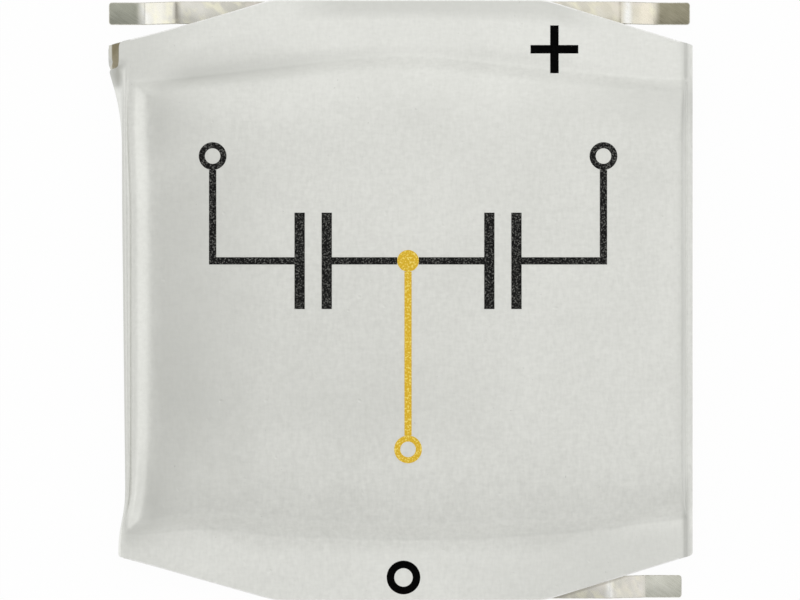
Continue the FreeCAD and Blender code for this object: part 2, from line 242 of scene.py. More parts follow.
# %% The strokes of the press
done = 0.0
for share, from_root, from_bow, end_share in PRESS:
    left = root_x + from_root - TOUCH
    right = bow_x - from_bow + TOUCH
    far = end_share * end_y + TOUCH
    choose(pouch, lambda co: left < co.x < right and abs(co.y) < far)
    bpy.ops.transform.translate(value=(0, 0, (share - done) * rise))
    done = share
sealed_y = END_FOOT * end_y - TOUCH
for x, lift in zip(right_wall, RIDGE):
    choose(pouch, lambda co: near(co.x, x) and abs(co.y) > sealed_y)
    bpy.ops.transform.translate(value=(0, 0, lift))
print("pocket depth in mm", round(rise * done, 3))

# %% The fold and the lower half
FOLD_STEPS = 3
choose(pouch, lambda co: near(co.x, bow_x), "EDGE")
for step in range(FOLD_STEPS):
    a0, a1 = (math.radians(90 * k / FOLD_STEPS) for k in (step, step + 1))
    shift = (SEAL * (math.sin(a1) - math.sin(a0)), 0, SEAL * (math.cos(a1) - math.cos(a0)))
    bpy.ops.mesh.extrude_edges_move(TRANSFORM_OT_translate={"value": shift})
bpy.ops.mesh.select_all(action="SELECT")
bpy.ops.mesh.duplicate()
bpy.ops.transform.resize(value=(1, 1, -1), center_override=(0, 0, mid_z))
weld()
bpy.ops.mesh.normals_make_consistent(inside=False)
choose(pouch, lambda co: co.x > bow_x - TOUCH and abs(co.y) > sealed_y)
bpy.ops.transform.resize(value=(1, 1, BEAD), center_override=(0, 0, mid_z))
bpy.ops.object.mode_set(mode="OBJECT")
print(len(pouch.data.vertices), "points in the folded blank")

# %% [markdown]
# ### Tapered ends and the side seam
#
# Both ends of the pouch taper towards the sides, and the seam on the left stands flat at one corner,
# turns down along the body and opens a little at the other corner. No single operator follows such a
# changing fold, so these moves are short rules, applied to each point of the coarse sheet.

# %% Rules for the tapered ends
FOLD_TAPER = 1.515  # how far a tapered end falls back at the fold
SEAM_TAPER = 1.50  # and at the seam
SEAM_TAPER_LOW = 1.562  # at the single-lead end
TIP_LOW = 0.11  # the tip is this much further right there
TAPER_BOW = 0.055  # the trimmed edge by the flat corner is not quite straight
# Where the end walls start: X and the distance from the middle, at the upper and the lower end
FOOT_TOP = (
    (-9.30, 7.27),
    (-8.35, 7.33),
    (-4.35, 7.80),
    (-2.00, 8.07),
    (0.20, 8.26),
    (2.00, 8.12),
    (3.30, 7.90),
    (6.30, 7.61),
    (8.30, 7.42),
    (9.60, 7.34),
)
FOOT_BOTTOM = (
    (-9.30, 7.75),
    (-8.35, 7.80),
    (-7.35, 7.60),
    (-6.35, 7.53),
    (-4.35, 7.80),
    (-2.00, 7.92),
    (0.65, 7.97),
    (3.30, 7.90),
    (6.30, 7.67),
    (8.15, 7.40),
    (9.35, 7.27),
)
FOOT_FADE = 0.40  # the shift of a foot fades out towards this share
DECK_END = PRESS[-1][3]  # and is whole where the deck ends
FOLD_ROUND = (0.03, 0.10)  # the trimmed corners by the fold, at the upper and the lower end


def half_length(x, y):
    """From the middle to the tapered end, at this x and on this side of the middle."""
    tip = TIP_LEFT if y > 0 else TIP_LEFT + TIP_LOW
    if x > TIP_RIGHT:
        corner = FOLD_ROUND[0] if y > 0 else FOLD_ROUND[1]
        past = min(max(x - fold_x + corner, 0), corner)
        trimmed = corner - math.sqrt(corner**2 - past**2)
        return end_y - FOLD_TAPER * (x - TIP_RIGHT) / (fold_x - TIP_RIGHT) - trimmed
    share = max(tip - x, 0) / (tip - seam_x)
    if y < 0:
        return end_y - SEAM_TAPER_LOW * share
    return end_y - SEAM_TAPER * share - TAPER_BOW * math.sin(math.pi * min(share, 1))


def settled_y(x, y):
    """Y of a point of the blank after the ends are trimmed and sealed."""
    share = abs(y) / end_y
    foot = between(x, FOOT_TOP if y > 0 else FOOT_BOTTOM) / half_length(x, y)
    if share > END_FOOT:
        share = foot + (1 - foot) * (share - END_FOOT) / (1 - END_FOOT)
    elif share > FOOT_FADE:
        share += (foot - END_FOOT) * eased((share - FOOT_FADE) / (DECK_END - FOOT_FADE))
    return math.copysign(share * half_length(x, y), y)


print("half length from seam to fold:", [round(half_length(x, 1), 2) for x in (seam_x, 0, fold_x)])

# %% Rules for the side seam
SEAM_FOLD = 88.0  # degrees down from flat, along the body
FOLDS = (  # Y, and the fold there in degrees
    (-8.30, 84),
    (-7.00, 88),
    (5.30, 88),
    (5.87, 85),
    (6.27, 78),
    (6.67, 69),
    (7.07, 57),
    (7.47, 41),
    (7.67, 29),
    (7.85, 8),
    (8.00, 0),
)
LEAN = 0.0113  # the seam leans inwards along the body, millimetres a millimetre
LEAN_FROM = 3.4  # below this Y
TAIL_Y = -6.80  # the lip starts to stand out here
TAIL_LENGTH = 1.47  # and over this length
TAIL_SHIFT = 0.21  # moves this far
WALL_Y = -4.1  # the wall starts to steepen here
WALL_LENGTH = 3.0  # and over this length
WALL_SQUEEZE = 0.30  # loses this share of its run
WALL_REACH = 3.4  # the wall's moves fade out over this width
ROOT_SLIDES = (  # Y, and how far the root slides out onto the lip
    (-7.2, 0.18),
    (-6.2, 0.11),
    (-3.7, 0.07),
    (3.4, 0.0),
    (5.7, 0.10),
    (7.4, 0.08),
    (8.0, 0.05),
)
FLAT_WIDTH = 0.61  # of the lip where it lies flat
FILM_SHOWS = 0.36  # strip of film left bare there
NOTCH_Y = 7.77  # down to here
CROWN_LIFT = 0.06  # the folded lip stands up a little
GROOVE = 0.05  # and dips before the wall
INNER_STEP = 0.04  # between the points inside the fold


def seam_state(y):
    """Fold in radians, how flat the lip lies from 0 to 1, and how far the seam stands out."""
    fold = between(y, FOLDS)
    tail = math.sin(math.pi / 2 * min(max((TAIL_Y - y) / TAIL_LENGTH, 0), 1))
    stands = TAIL_SHIFT * tail - LEAN * max(LEAN_FROM - max(y, TAIL_Y), 0)
    return math.radians(fold), min((SEAM_FOLD - fold) / SEAM_FOLD + tail, 1), stands


def lip_place(step, y, upper):
    """Where the seam's point lies: step 0 is the lip's edge, 3 its crown and 4 its root."""
    fold, flat, stands = seam_state(y)
    offset = SEAL if upper else -SEAL
    bend = Vector((bend_x - stands, y, mid_z))
    along = Vector((-math.cos(fold), 0, -math.sin(fold)))
    out = Vector((-math.sin(fold), 0, math.cos(fold)))
    width = LIP + (FLAT_WIDTH - LIP) * math.cos(fold)
    if step >= 3 and upper:
        shift, lift = ((CROWN, CROWN_LIFT), (BEND, -GROOVE))[step - 3]
        return bend + Vector((shift - root_slide(y), 0, offset + lift * (1 - flat) ** 3))
    if step >= 3:
        inside = inner_corner(y) + INNER_STEP * (step - 2)
        return bend + Vector((max((CROWN, BEND)[step - 3], inside), 0, offset))
    if step == 2:
        return bend + out * offset - along * (offset * math.tan(fold / 2))
    bare = FILM_SHOWS + (FLAT_WIDTH / 2 - FILM_SHOWS) * eased((NOTCH_Y - y) / LIP)
    return bend + along * (width - bare * step) + out * offset


def root_slide(y):
    """How far the root slides out towards the lip's edge."""
    return between(y, ROOT_SLIDES)


def inner_corner(y):
    """How far the corner inside the fold lies from the line of the fold."""
    return SEAL * math.tan(seam_state(y)[0] / 2)


def wall_x(x, y, upper):
    """X of a point of the left wall: it follows the seam and steepens at its tail."""
    inside = eased((x - left_wall[0]) / WALL_REACH)
    squeeze = WALL_SQUEEZE * eased((WALL_Y - y) / WALL_LENGTH) * (1 - inside)
    stands = seam_state(y)[2]
    follow = -root_slide(y) - stands
    moved = root_x + follow * (1 - inside) + (x - root_x) * (1 - squeeze)
    if upper:
        return moved
    return max(moved, bend_x - stands + inner_corner(y) + INNER_STEP * (3 + left_wall.index(x)))


places = (-8, -6, 0, 6, 7, 8)
print("fold along the seam in degrees:", [round(math.degrees(seam_state(y)[0])) for y in places])

# %% [markdown]
# ### Where shade is painted on the foil
#
# The foil's colour is darkened in places with painted shade: a band inside the left wall and its lower
# corner, the bend and the groove of the seam, a patch below the bare film, the creases of the sealed
# ends and a line along the fold. Each point of the coarse sheet gets a number for that, as a painted
# weight would be, and the subdivision spreads it softly over the foil. The numbers come from pairs of
# short tables, one for each direction, so a place is moved or softened by changing one entry.

# %% Patches of painted shade
SHADE_PATCHES = {  # a table of X and a table of Y, whose product is the painted shade
    "band": (
        ((-8.80, 0), (-8.34, 0.30), (-8.00, 0.62), (-7.00, 0.58), (-5.00, 0.25), (-3.60, 0)),
        ((-8.4, 0), (-7.2, 0.35), (-3.6, 1.1), (-0.8, 1.0), (2.4, 0.85), (4.0, 0.75), (5.6, 0.3), (6.6, 0)),
    ),
    "upper band": (
        ((-8.80, 0), (-8.34, 0.40), (-8.00, 0.65), (-7.00, 0.35), (-6.00, 0.10), (-5.20, 0)),
        ((3.6, 0), (5.2, 1.0), (7.2, 1.0), (7.8, 0.3), (8.4, 0)),
    ),
    "below the film": (
        ((-9.75, 0.6), (-9.62, 1.0), (-9.48, 1.9), (-9.36, 1.7), (-9.20, 0.6), (-9.10, 0)),
        ((6.95, 0), (7.20, 0.8), (7.45, 1.0), (7.70, 1.0), (7.80, 0.5), (7.95, 0)),
    ),
    "lower corner": (
        ((-8.85, 0.05), (-8.65, 0.55), (-8.30, 0.80), (-8.00, 0.75), (-7.40, 0.35), (-6.50, 0)),
        ((-8.6, 0), (-8.0, 0.3), (-7.5, 0.7), (-6.9, 1.0), (-6.0, 0.9), (-5.0, 0)),
    ),
    "foot of the lower corner": (
        ((-9.30, 0), (-9.15, 0.5), (-8.90, 0.55), (-8.40, 0.3), (-7.60, 0.1), (-7.00, 0)),
        ((-8.4, 0.2), (-7.9, 0.9), (-7.5, 1.0), (-7.25, 0.8), (-6.9, 0)),
    ),
    "lower deck": (
        ((-6.5, 0), (-4.0, 0.22), (1.5, 0.22), (4.0, 0)),
        ((-5.4, 0), (-3.6, 1.0), (-2.2, 0.6), (0.0, 0)),
    ),
    "lower end by the fold": (
        ((2.0, 0), (6.0, 0.25)),
        ((-7.8, 1.0), (-7.5, 0)),
    ),
}
print("patches:", ", ".join(SHADE_PATCHES))

# %% Painted shade in the creases, and along the fold
CREASE_SHADE = {  # the same at the upper end, over X and the share of the half length
    "wall": (
        ((-9.2, 0.3), (-7.0, 1.0), (-3.3, 0.6), (-1.0, 0.2), (0.5, 0.05), (3.3, 0.2), (6.0, 0.1), (7.5, 0)),
        ((0.705, 0), (0.762, 0.15), (0.785, 0.35), (0.805, 0.6), (0.824, 1.0), (0.835, 0.8), (0.845, 0)),
    ),
    "flap": (
        ((-9.2, 0.5), (-7.0, 1.0), (-5.5, 0.5), (-3.5, 0.1), (-2.0, 0)),
        ((0.824, 0), (0.835, 0.7), (0.865, 0.5), (0.892, 0.35), (0.912, 0.25), (0.936, 0)),
    ),
    "flap corner": (
        ((-9.3, 0.45), (-8.3, 0.40), (-7.2, 0.15), (-6.5, 0)),
        ((0.835, 0), (0.865, 1.0), (1.0, 0.9)),
    ),
    "end": (
        ((-3.5, 0), (-2.5, 0.45), (5.5, 0.45), (6.5, 0)),
        ((0.936, 0), (0.970, 0.9), (1.0, 1.0)),
    ),
    "deck by the fold": (
        ((3.0, 0), (7.3, 0.65), (8.5, 1.0)),
        ((0.62, 0), (0.705, 0.28), (0.762, 0.45), (0.785, 0.42), (0.805, 0.30), (0.824, 0)),
    ),
    "foot by the fold": (
        ((7.5, 0), (8.3, 0.18)),
        ((0.805, 0), (0.824, 1.0), (0.835, 1.0), (0.865, 0)),
    ),
}
FOLD_SHADE = {  # the same by the fold, over the distance inside its round and Y
    "ends of the fold": (
        ((0.0, 0.6), (0.07, 1.0), (0.11, 1.0), (0.15, 0.8), (0.20, 0.4), (0.27, 0)),
        ((-7.2, 0.85), (-6.6, 0.7), (-5.8, 0.25), (-5.2, 0), (6.2, 0), (6.8, 0.5), (7.4, 0.7), (8.2, 0.6)),
    ),
    "line along the fold": (
        ((0.04, 0), (0.11, 0.5), (0.15, 0.9), (0.20, 1.0), (0.27, 0.35), (0.40, 0)),
        ((-7.2, 0.2), (-6.3, 0.6), (-5.3, 0.5), (-4.0, 0.55), (-0.7, 0.8))
        + ((2.7, 0.55), (5.2, 0.45), (6.0, 0.95), (6.8, 0.8), (7.6, 0.3)),
    ),
}
print("creases:", ", ".join(CREASE_SHADE), "and", ", ".join(FOLD_SHADE))

# %% How much shade is painted at a point
# Painted shade in the seam's groove
GROOVE_SHADE = 0.35
LIP_SHADE = 0.75  # painted shade along the lip's outer bend


def readings(tables, across, along):
    """Each pair of tables, read at two places and multiplied."""
    return [between(across, first) * between(along, second) for first, second in tables.values()]


def painted_shade_at(column, share, place):
    """Painted shade at a column and a share of the half length on the blank: 0 is none, 1 full, more is
    deeper.
    """
    shades = readings(SHADE_PATCHES, place.x, place.y)
    if place.y > 0:
        shades += readings(CREASE_SHADE, place.x, share)
    if right_wall[-1] < column < bow_x + TOUCH:
        shades += readings(FOLD_SHADE, bow_x - column, place.y)
    folded = 1 - seam_state(place.y)[1]
    if near(column, root_x) or near(column, left_wall[0]):
        shades.append(GROOVE_SHADE * folded)
    if near(column, bend_x):
        shades.append(LIP_SHADE * folded)
    return max(shades)


middle = Vector((0, 0, pouch_high.z))
print("dulling in the middle of the face:", painted_shade_at(middle.x, 0, middle))

# %% Move the points of the blank
# Each point of the blank gets its painted shade
painted_shade = pouch.data.attributes.new("painted_shade", "FLOAT", "POINT")
for point in pouch.data.vertices:
    flat_x, y, z = point.co
    upper = z > mid_z
    step = next((k for k, column in enumerate(lip_columns) if near(flat_x, column)), None)
    wall = next((column for column in left_wall if near(flat_x, column)), None)
    if step is not None:
        place = lip_place(step, settled_y(flat_x, y), upper)
        place.y = settled_y(max(place.x, seam_x), y)
        point.co = place
    else:
        x = flat_x
        if wall:
            x = wall_x(wall, settled_y(x, y), upper)
        elif y < 0 and abs(x - TIP_LEFT) < 2 * TIP_SPREAD:
            x += TIP_LOW
        point.co = (x, settled_y(x, y), z)
    painted_shade.data[point.index].value = painted_shade_at(flat_x, abs(y) / end_y, point.co)
print("deepest_painted_shade", round(max(item.value for item in painted_shade.data), 2))

# %% The notch that bares the film
open_piece(pouch)
notch_x = bend_x - FLAT_WIDTH + FILM_SHOWS
choose(pouch, lambda co: co.z > mid_z and co.x < notch_x and co.y > NOTCH_Y, "FACE")
bpy.ops.mesh.delete(type="FACE")
bpy.ops.object.mode_set(mode="OBJECT")
print("pouch spans", [round(v, 2) for v in pouch.dimensions])

# %% Soft foil with its thickness
SOFTNESS = 2  # times that each facet is divided


def rim_slots(piece):
    """Two empty material slots: the second is for the cut rim."""
    piece.data.materials.append(None)
    piece.data.materials.append(None)


rim_slots(pouch)
add_modifier(pouch, "SUBSURF", levels=SOFTNESS, render_levels=SOFTNESS, boundary_smooth="ALL")
add_modifier(pouch, "SOLIDIFY", thickness=LAMINATE, offset=-1, material_offset_rim=1)
top = max(pouch.data.polygons, key=lambda face: face.center.z)
print(len(pouch.data.polygons), "faces, top face looks", [round(v, 2) for v in top.normal])

# %% A chamfer on the trimmed ends
RIM_ROUND = 0.05
CHAMFER_X = (-9.0, 9.3)  # from the seam to the fold
bpy.ops.object.mode_set(mode="EDIT")
bpy.ops.mesh.select_mode(type="EDGE")
bpy.ops.mesh.select_all(action="DESELECT")
mesh = bmesh.from_edit_mesh(pouch.data)
for edge in mesh.edges:
    middle = (edge.verts[0].co + edge.verts[1].co) / 2
    skins = [face for face in edge.link_faces if face.material_index == 0]
    if len(skins) == 1 and CHAMFER_X[0] < middle.x < CHAMFER_X[1]:
        outside = (skins[0].normal.z > 0) == (middle.z > mid_z)
        edge.select = outside and abs(middle.y) > END_FOOT * end_y
mesh.select_flush_mode()
bmesh.update_edit_mesh(pouch.data)
bpy.ops.mesh.bevel(offset=RIM_ROUND, segments=1, affect="EDGES", clamp_overlap=True, material=1)
bpy.ops.object.mode_set(mode="OBJECT")
print(len(pouch.data.polygons), "faces with the chamfer")

# %% [markdown]
# ## The seal film
#
# Between the two sheets lies a film of amber polymer that melts and bonds them, and that keeps the two
# cells apart. It has windows and notches inside, which the packed piece already holds, so a copy of
# that piece is laid into the trimmed ends and the fold by the same rules as the foil. It shows as a
# bare strip at the flat corner and as a fine line between the sheets along each cut edge.

# %% Where the packed film lies
PACKED_TAPERS = (1.47, 1.50)  # at the fold and at the seam
PACKED_BEND = 0.67  # from the spread edge to the corner of the fold
PACKED_FLAT = 2.25  # the seam lies flat for this far in from the end
PACKED_SPREAD = 1.85  # and folds down over this length
PACKED_TAIL_FOLD = 65.0  # degrees, at the single-lead end
PACKED_TAIL = 3.40  # from that end to where the seam starts to open
PINCH_FROM = PRESS[3][2]  # from the fold's round
FILM_BACK = 0.02  # the film's edge lies this far inside the foil's
FILM_PINCH = 0.2  # and it is squeezed thin by the fold


def packed_length(x):
    """Half length of the packed film at this x."""
    if x > TIP_RIGHT:
        return end_y - PACKED_TAPERS[0] * (x - TIP_RIGHT) / (fold_x - TIP_RIGHT)
    return end_y - PACKED_TAPERS[1] * max(TIP_LEFT - x, 0) / (TIP_LEFT - seam_x)


def packed_fold(y):
    """Fold of the packed film in radians, and its lip's width."""
    spread = eased((y - end_y + PACKED_FLAT) / PACKED_SPREAD + 1)
    tail_end = -packed_length(seam_x + PACKED_BEND)
    tail = eased(1 - (y - tail_end) / (PACKED_TAIL - end_y - tail_end))
    fold = SEAM_FOLD * (1 - spread) + (PACKED_TAIL_FOLD - SEAM_FOLD) * tail
    width = LIP + (PACKED_BEND - LIP) * spread**2
    return math.radians(fold), width


print("packed film folds in degrees:", [round(math.degrees(packed_fold(y)[0])) for y in places])

# %% Lay the film into the pouch
film = bpy.data.objects.new("seal_film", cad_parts["barrier_film"].data.copy())
bpy.context.scene.collection.objects.link(film)
open_piece(film)
start_piece("seal_film")
bpy.ops.mesh.select_all(action="SELECT")
bpy.ops.transform.resize(value=(1 / MM, 1 / MM, 1 / MM), center_override=(0, 0, 0))
weld()
bpy.ops.object.mode_set(mode="OBJECT")
for point in film.data.vertices:
    x, y, z = point.co
    new_y = math.copysign(min(abs(y) / packed_length(x), 1) * (half_length(x, y) - FILM_BACK), y)
    if x < root_x:
        fold, width = packed_fold(y)
        new_fold, _, stands = seam_state(new_y)
        new_width = LIP + (FLAT_WIDTH - LIP) * math.cos(new_fold) - FILM_BACK
        across, down = seam_x + PACKED_BEND - x, mid_z - z
        along = across * math.cos(fold) + down * math.sin(fold)
        off = across * math.sin(fold) - down * math.cos(fold)
        if along > 0:
            along *= new_width / width
            x = bend_x - stands - along * math.cos(new_fold) - off * math.sin(new_fold)
            z = mid_z - along * math.sin(new_fold) + off * math.cos(new_fold)
        else:
            x -= stands
    elif x > bow_x - PINCH_FROM:
        z = mid_z + (z - mid_z) * FILM_PINCH
    point.co = (x, new_y, z)
print(len(film.data.vertices), "points in the film")

# %% [markdown]
# ## The leads
#
# Each lead is a strip of nickel-plated metal: a weld pad and neck inside the seal, a run along the end
# of the pouch, and a step down to a solder foot. A strip is easiest as its middle surface: a plane,
# extruded along the straight runs and spun round the bends. Solidify then gives both faces at once.

# %% Sizes of the leads, in millimetres
LEAD = 0.10
RUN_Y = (9.20, 9.95)  # edges of the run along the end
NECK_X = (2.60, 4.60)  # edges of the neck that passes through the seal
PAD_Y = 6.90  # inner end of the weld pad
FOOT = 1.15  # length of the foot
BEND_RADIUS = 0.25
BEND_STEPS = 8
FOOT_ROUND = 0.10
ROUND_STEPS = 5
EDGE_ROUND = 0.025
EDGE_STEPS = 3
SHARP = math.radians(60)  # edges sharper than this are rounded
# Length over which each lead steps down
STEPS = {"positive_terminal": 1.28, "negative_terminal": 1.20, "balance_terminal": 1.35}
print("strips", round(RUN_Y[1] - RUN_Y[0], 2), "mm wide")


# %% The slope and the bends of a lead
def step_slope(step):
    """Angle and straight length of the slope between the two bends."""
    drop = mid_z - LEAD / 2 - 2 * BEND_RADIUS
    apart = math.hypot(step, drop)
    angle = math.asin(2 * BEND_RADIUS / apart) + math.atan2(drop, step)
    return angle, math.sqrt(apart**2 - 4 * BEND_RADIUS**2)


def bend_strip(angle, centre, way):
    """Spins the strip's end edge round a centre, down (1) or back up (-1)."""
    middle = (centre[0], sum(RUN_Y) / 2, centre[1])
    bpy.ops.mesh.spin(steps=BEND_STEPS, angle=-angle * way, center=middle, axis=(0, 1, 0))


def run_on(x, z=0.0):
    """Extrudes the strip's end edge straight on."""
    bpy.ops.mesh.extrude_edges_move(TRANSFORM_OT_translate={"value": (x, 0, z)})


for node, step in STEPS.items():
    print(node, "slopes at", round(math.degrees(step_slope(step)[0]), 1), "degrees")


# %% One lead
def lead_strip(node):
    """Draws a lead as if it lay on the right at the upper end, and mirrors it to its own place."""
    low, high = box_mm(node)
    side = 1 if high.x > -low.x else -1
    end = 1 if high.y > -low.y else -1
    foot_end = high.x if side > 0 else -low.x
    step_x = foot_end - FOOT - STEPS[node]
    slope, straight = step_slope(STEPS[node])
    deselect_all()
    bpy.ops.mesh.primitive_plane_add(size=1)
    strip = start_piece(node + "_strip")
    bpy.ops.transform.resize(value=(NECK_X[1] - NECK_X[0], RUN_Y[1] - PAD_Y, 1))
    bpy.ops.transform.translate(value=(sum(NECK_X) / 2, (RUN_Y[1] + PAD_Y) / 2, mid_z))
    cut((0, RUN_Y[0], 0), (0, 1, 0))
    choose(strip, lambda co: near(co.x, NECK_X[1]) and co.y > RUN_Y[0], "EDGE")
    run_on(step_x - NECK_X[1])
    bend_strip(slope, (step_x, mid_z - BEND_RADIUS), 1)
    run_on(straight * math.cos(slope), -straight * math.sin(slope))
    bend_strip(slope, (foot_end - FOOT, LEAD / 2 + BEND_RADIUS), -1)
    run_on(FOOT)
    choose(strip, lambda co: near(co.x, foot_end))
    bpy.ops.mesh.bevel(offset=FOOT_ROUND, segments=ROUND_STEPS, affect="VERTICES")
    weld()
    bpy.ops.transform.resize(value=(side, end, 1), center_override=(0, 0, 0))
    bpy.ops.mesh.normals_make_consistent(inside=False)
    bpy.ops.object.mode_set(mode="OBJECT")
    rim_slots(strip)
    add_modifier(strip, "SOLIDIFY", thickness=LEAD, offset=0, material_offset_rim=1)
    add_modifier(
        strip,
        "BEVEL",
        width=EDGE_ROUND,
        segments=EDGE_STEPS,
        limit_method="ANGLE",
        angle_limit=SHARP,
        material=1,
    )
    lowest = min(point.co.z for point in strip.data.vertices)
    print(strip.name, len(strip.data.polygons), "faces, lowest point at", round(lowest, 3))
    return strip


strips = {node: lead_strip(node) for node in STEPS}

# %% [markdown]
# ## The print
#
# The marks are screen printed: a polarity sign by the positive lead, a ring by the balance lead, and
# on the face a plain wiring diagram of what is inside, two capacitors in series with the balance lead
# at their middle. Print could be a pattern in the foil's material, but as thin pieces of their own the
# marks stay crisp at any distance. Each is a flat shape, drawn out of one square or one circle,
# shrink-wrapped onto the foil and given the thickness of a coat of ink.

# %% Drawing with ink
INK_Z = 2 * pouch_high.z  # ink is drawn above the foil and let down onto it
RING_POINTS = 48


def ink_square(name, x, y, width):
    """A square of ink above the foil, open for editing."""
    deselect_all()
    bpy.ops.mesh.primitive_plane_add(size=width, location=(x, y, INK_Z))
    bpy.ops.object.transform_apply(location=True)
    return start_piece(name)


def draw_on(piece, place, way, length):
    """Extrudes the edge of the ink at a place, some way along X or Y."""
    choose(piece, lambda co: near(co.x, place[0]) and near(co.y, place[1]), "EDGE")
    shift = (way[0] * length, way[1] * length, 0)
    bpy.ops.mesh.extrude_edges_move(TRANSFORM_OT_translate={"value": shift})


def ink_line(name, start, width, legs):
    """A line of ink from a point: legs are (dx, dy) moves between the middles of its corners."""
    piece = ink_square(name, *start, width)
    x, y = start
    for dx, dy in legs:
        length = abs(dx) + abs(dy)
        way = (dx / length, dy / length)
        draw_on(piece, (x + way[0] * width / 2, y + way[1] * width / 2), way, length - width)
        last = (x + way[0] * (length - width / 2), y + way[1] * (length - width / 2))
        draw_on(piece, last, way, width)
        x, y = x + dx, y + dy
    return lay_on_foil(piece)


def ink_ring(name, place, radius, stroke):
    """A ring, or a dot where the stroke is as wide as the radius."""
    deselect_all()
    spot = (*place, INK_Z)
    bpy.ops.mesh.primitive_circle_add(vertices=RING_POINTS, radius=radius, fill_type="NGON", location=spot)
    bpy.ops.object.transform_apply(location=True)
    piece = start_piece(name)
    bpy.ops.mesh.select_all(action="SELECT")
    bpy.ops.mesh.inset(thickness=min(stroke, radius / 2), depth=0)
    if stroke < radius:
        bpy.ops.mesh.delete(type="FACE")
    return lay_on_foil(piece, grid=False)


print("ink is drawn", round(INK_Z - pouch_high.z, 2), "mm above the foil")

# %% Laying ink on the foil
INK = 0.008
INK_GRID = 0.25  # the ink is cut this finely, to follow the foil


def lay_on_foil(piece, grid=True):
    """Cuts the ink into a grid, lets it down onto the foil and gives it its thickness."""
    weld()
    corners = [point.co for point in bmesh.from_edit_mesh(piece.data).verts]
    for axis in (0, 1) if grid else ():
        low, high = min(co[axis] for co in corners), max(co[axis] for co in corners)
        count = math.ceil((high - low) / INK_GRID)
        for number in range(1, count):
            place = low + (high - low) * number / count
            cut((place, place, 0), (1 - axis, axis, 0))
    bpy.ops.mesh.select_all(action="SELECT")
    bpy.ops.mesh.normals_make_consistent(inside=False)
    bpy.ops.object.mode_set(mode="OBJECT")
    if piece.data.polygons[0].normal.z < 0:
        piece.data.flip_normals()
    add_modifier(
        piece,
        "SHRINKWRAP",
        target=pouch,
        wrap_method="PROJECT",
        use_project_z=True,
        use_positive_direction=False,
        use_negative_direction=True,
        offset=INK / 2,
    )
    add_modifier(piece, "SOLIDIFY", thickness=INK, offset=1)
    print(piece.name, len(piece.data.polygons), "faces at z", round(piece.data.vertices[0].co.z, 3))
    return piece


print("ink is", INK, "mm thick")

# %% The polarity sign and the balance ring
SIGN_AT = (5.125, 8.35)
SIGN_STROKE = 0.28
SIGN_SIZE = 1.59
RING_AT = (0.10, -9.24)
RING_RADIUS = 0.56
RING_STROKE = 0.25


def ink_cross(name, place, stroke, size):
    """Four arms drawn out of one square."""
    piece = ink_square(name, *place, stroke)
    for way in ((1, 0), (-1, 0), (0, 1), (0, -1)):
        edge = (place[0] + way[0] * stroke / 2, place[1] + way[1] * stroke / 2)
        draw_on(piece, edge, way, (size - stroke) / 2)
    return lay_on_foil(piece)


sign = ink_cross("positive_sign", SIGN_AT, SIGN_STROKE, SIGN_SIZE)
ring = ink_ring("balance_ring", RING_AT, RING_RADIUS, RING_STROKE)

# %% The wiring diagram
LINE = 0.24  # width of the lines
PLATE = (0.34, 3.2)  # width and height
PLATE_GAP = 0.90  # between the middles of a pair of plates
CELL_X = (-2.9, 3.4)  # the middles of the two capacitors
LINE_Y = 1.3
LEAD_OUT = 2.6  # from a plate to the corner of its line
LEAD_UP = 2.9
TAP = 5.2  # length of the balance line
END_RADIUS = 0.46
END_STROKE = 0.20
JOINT_RADIUS = 0.36
centre_x = sum(CELL_X) / 2
reach = PLATE_GAP / 2 + PLATE[0] / 2 + LINE / 2  # from a cell's middle to the start of a line


def ink_plate(name, x):
    """One plate of a capacitor, as a short thick line."""
    start = (x, LINE_Y - (PLATE[1] - PLATE[0]) / 2)
    return ink_line(name, start, PLATE[0], [(0, PLATE[1] - PLATE[0])])


sides = [(x, way) for x in CELL_X for way in (-1, 1)]
black_marks = [
    ink_plate(f"printed_plate_{number}", x + way * PLATE_GAP / 2) for number, (x, way) in enumerate(sides, 1)
]
for name, x, way in (("negative", CELL_X[0], -1), ("positive", CELL_X[1], 1)):
    start = (x + way * reach, LINE_Y)
    legs = [(way * LEAD_OUT, 0), (0, LEAD_UP)]
    black_marks.append(ink_line(f"printed_{name}_line", start, LINE, legs))
    end = (start[0] + way * LEAD_OUT, LINE_Y + LEAD_UP + LINE / 2 + END_RADIUS)
    black_marks.append(ink_ring(f"printed_{name}_end", end, END_RADIUS, END_STROKE))
link_end = JOINT_RADIUS + LINE / 2  # a line's last corner, from the middle of the joint
link = centre_x - CELL_X[0] - reach - link_end
for name, way in (("left", -1), ("right", 1)):
    start = (centre_x + way * (link_end + link), LINE_Y)
    black_marks.append(ink_line(f"printed_{name}_link", start, LINE, [(-way * link, 0)]))
end = (centre_x, LINE_Y - JOINT_RADIUS - LINE - TAP - END_RADIUS)
gold_marks = [
    ink_ring("printed_joint", (centre_x, LINE_Y), JOINT_RADIUS, JOINT_RADIUS),
    ink_line("printed_balance_line", (centre_x, LINE_Y - link_end), LINE, [(0, -TAP)]),
    ink_ring("printed_balance_end", end, END_RADIUS, END_STROKE),
]

# %% [markdown]
# ## Finishes
#
# Every finish is built from nodes on Object coordinates, so that a pattern stays with the surface.
# Two effects are used by several materials and are node groups: streaks, as rolling and brushing
# leave on metal, and a speckle, as ink and paper show.

# %% Helpers for node groups
def group_with(name, inputs, outputs):
    """A group with its inputs and outputs, and the two nodes that stand for them inside."""
    group = bpy.data.node_groups.new(name, "ShaderNodeTree")
    for label, value in inputs.items():
        socket = group.interface.new_socket(label, in_out="INPUT", socket_type="NodeSocketFloat")
        socket.default_value = value
    for label in outputs:
        group.interface.new_socket(label, in_out="OUTPUT", socket_type="NodeSocketFloat")
    return group, group.nodes.new("NodeGroupInput"), group.nodes.new("NodeGroupOutput")


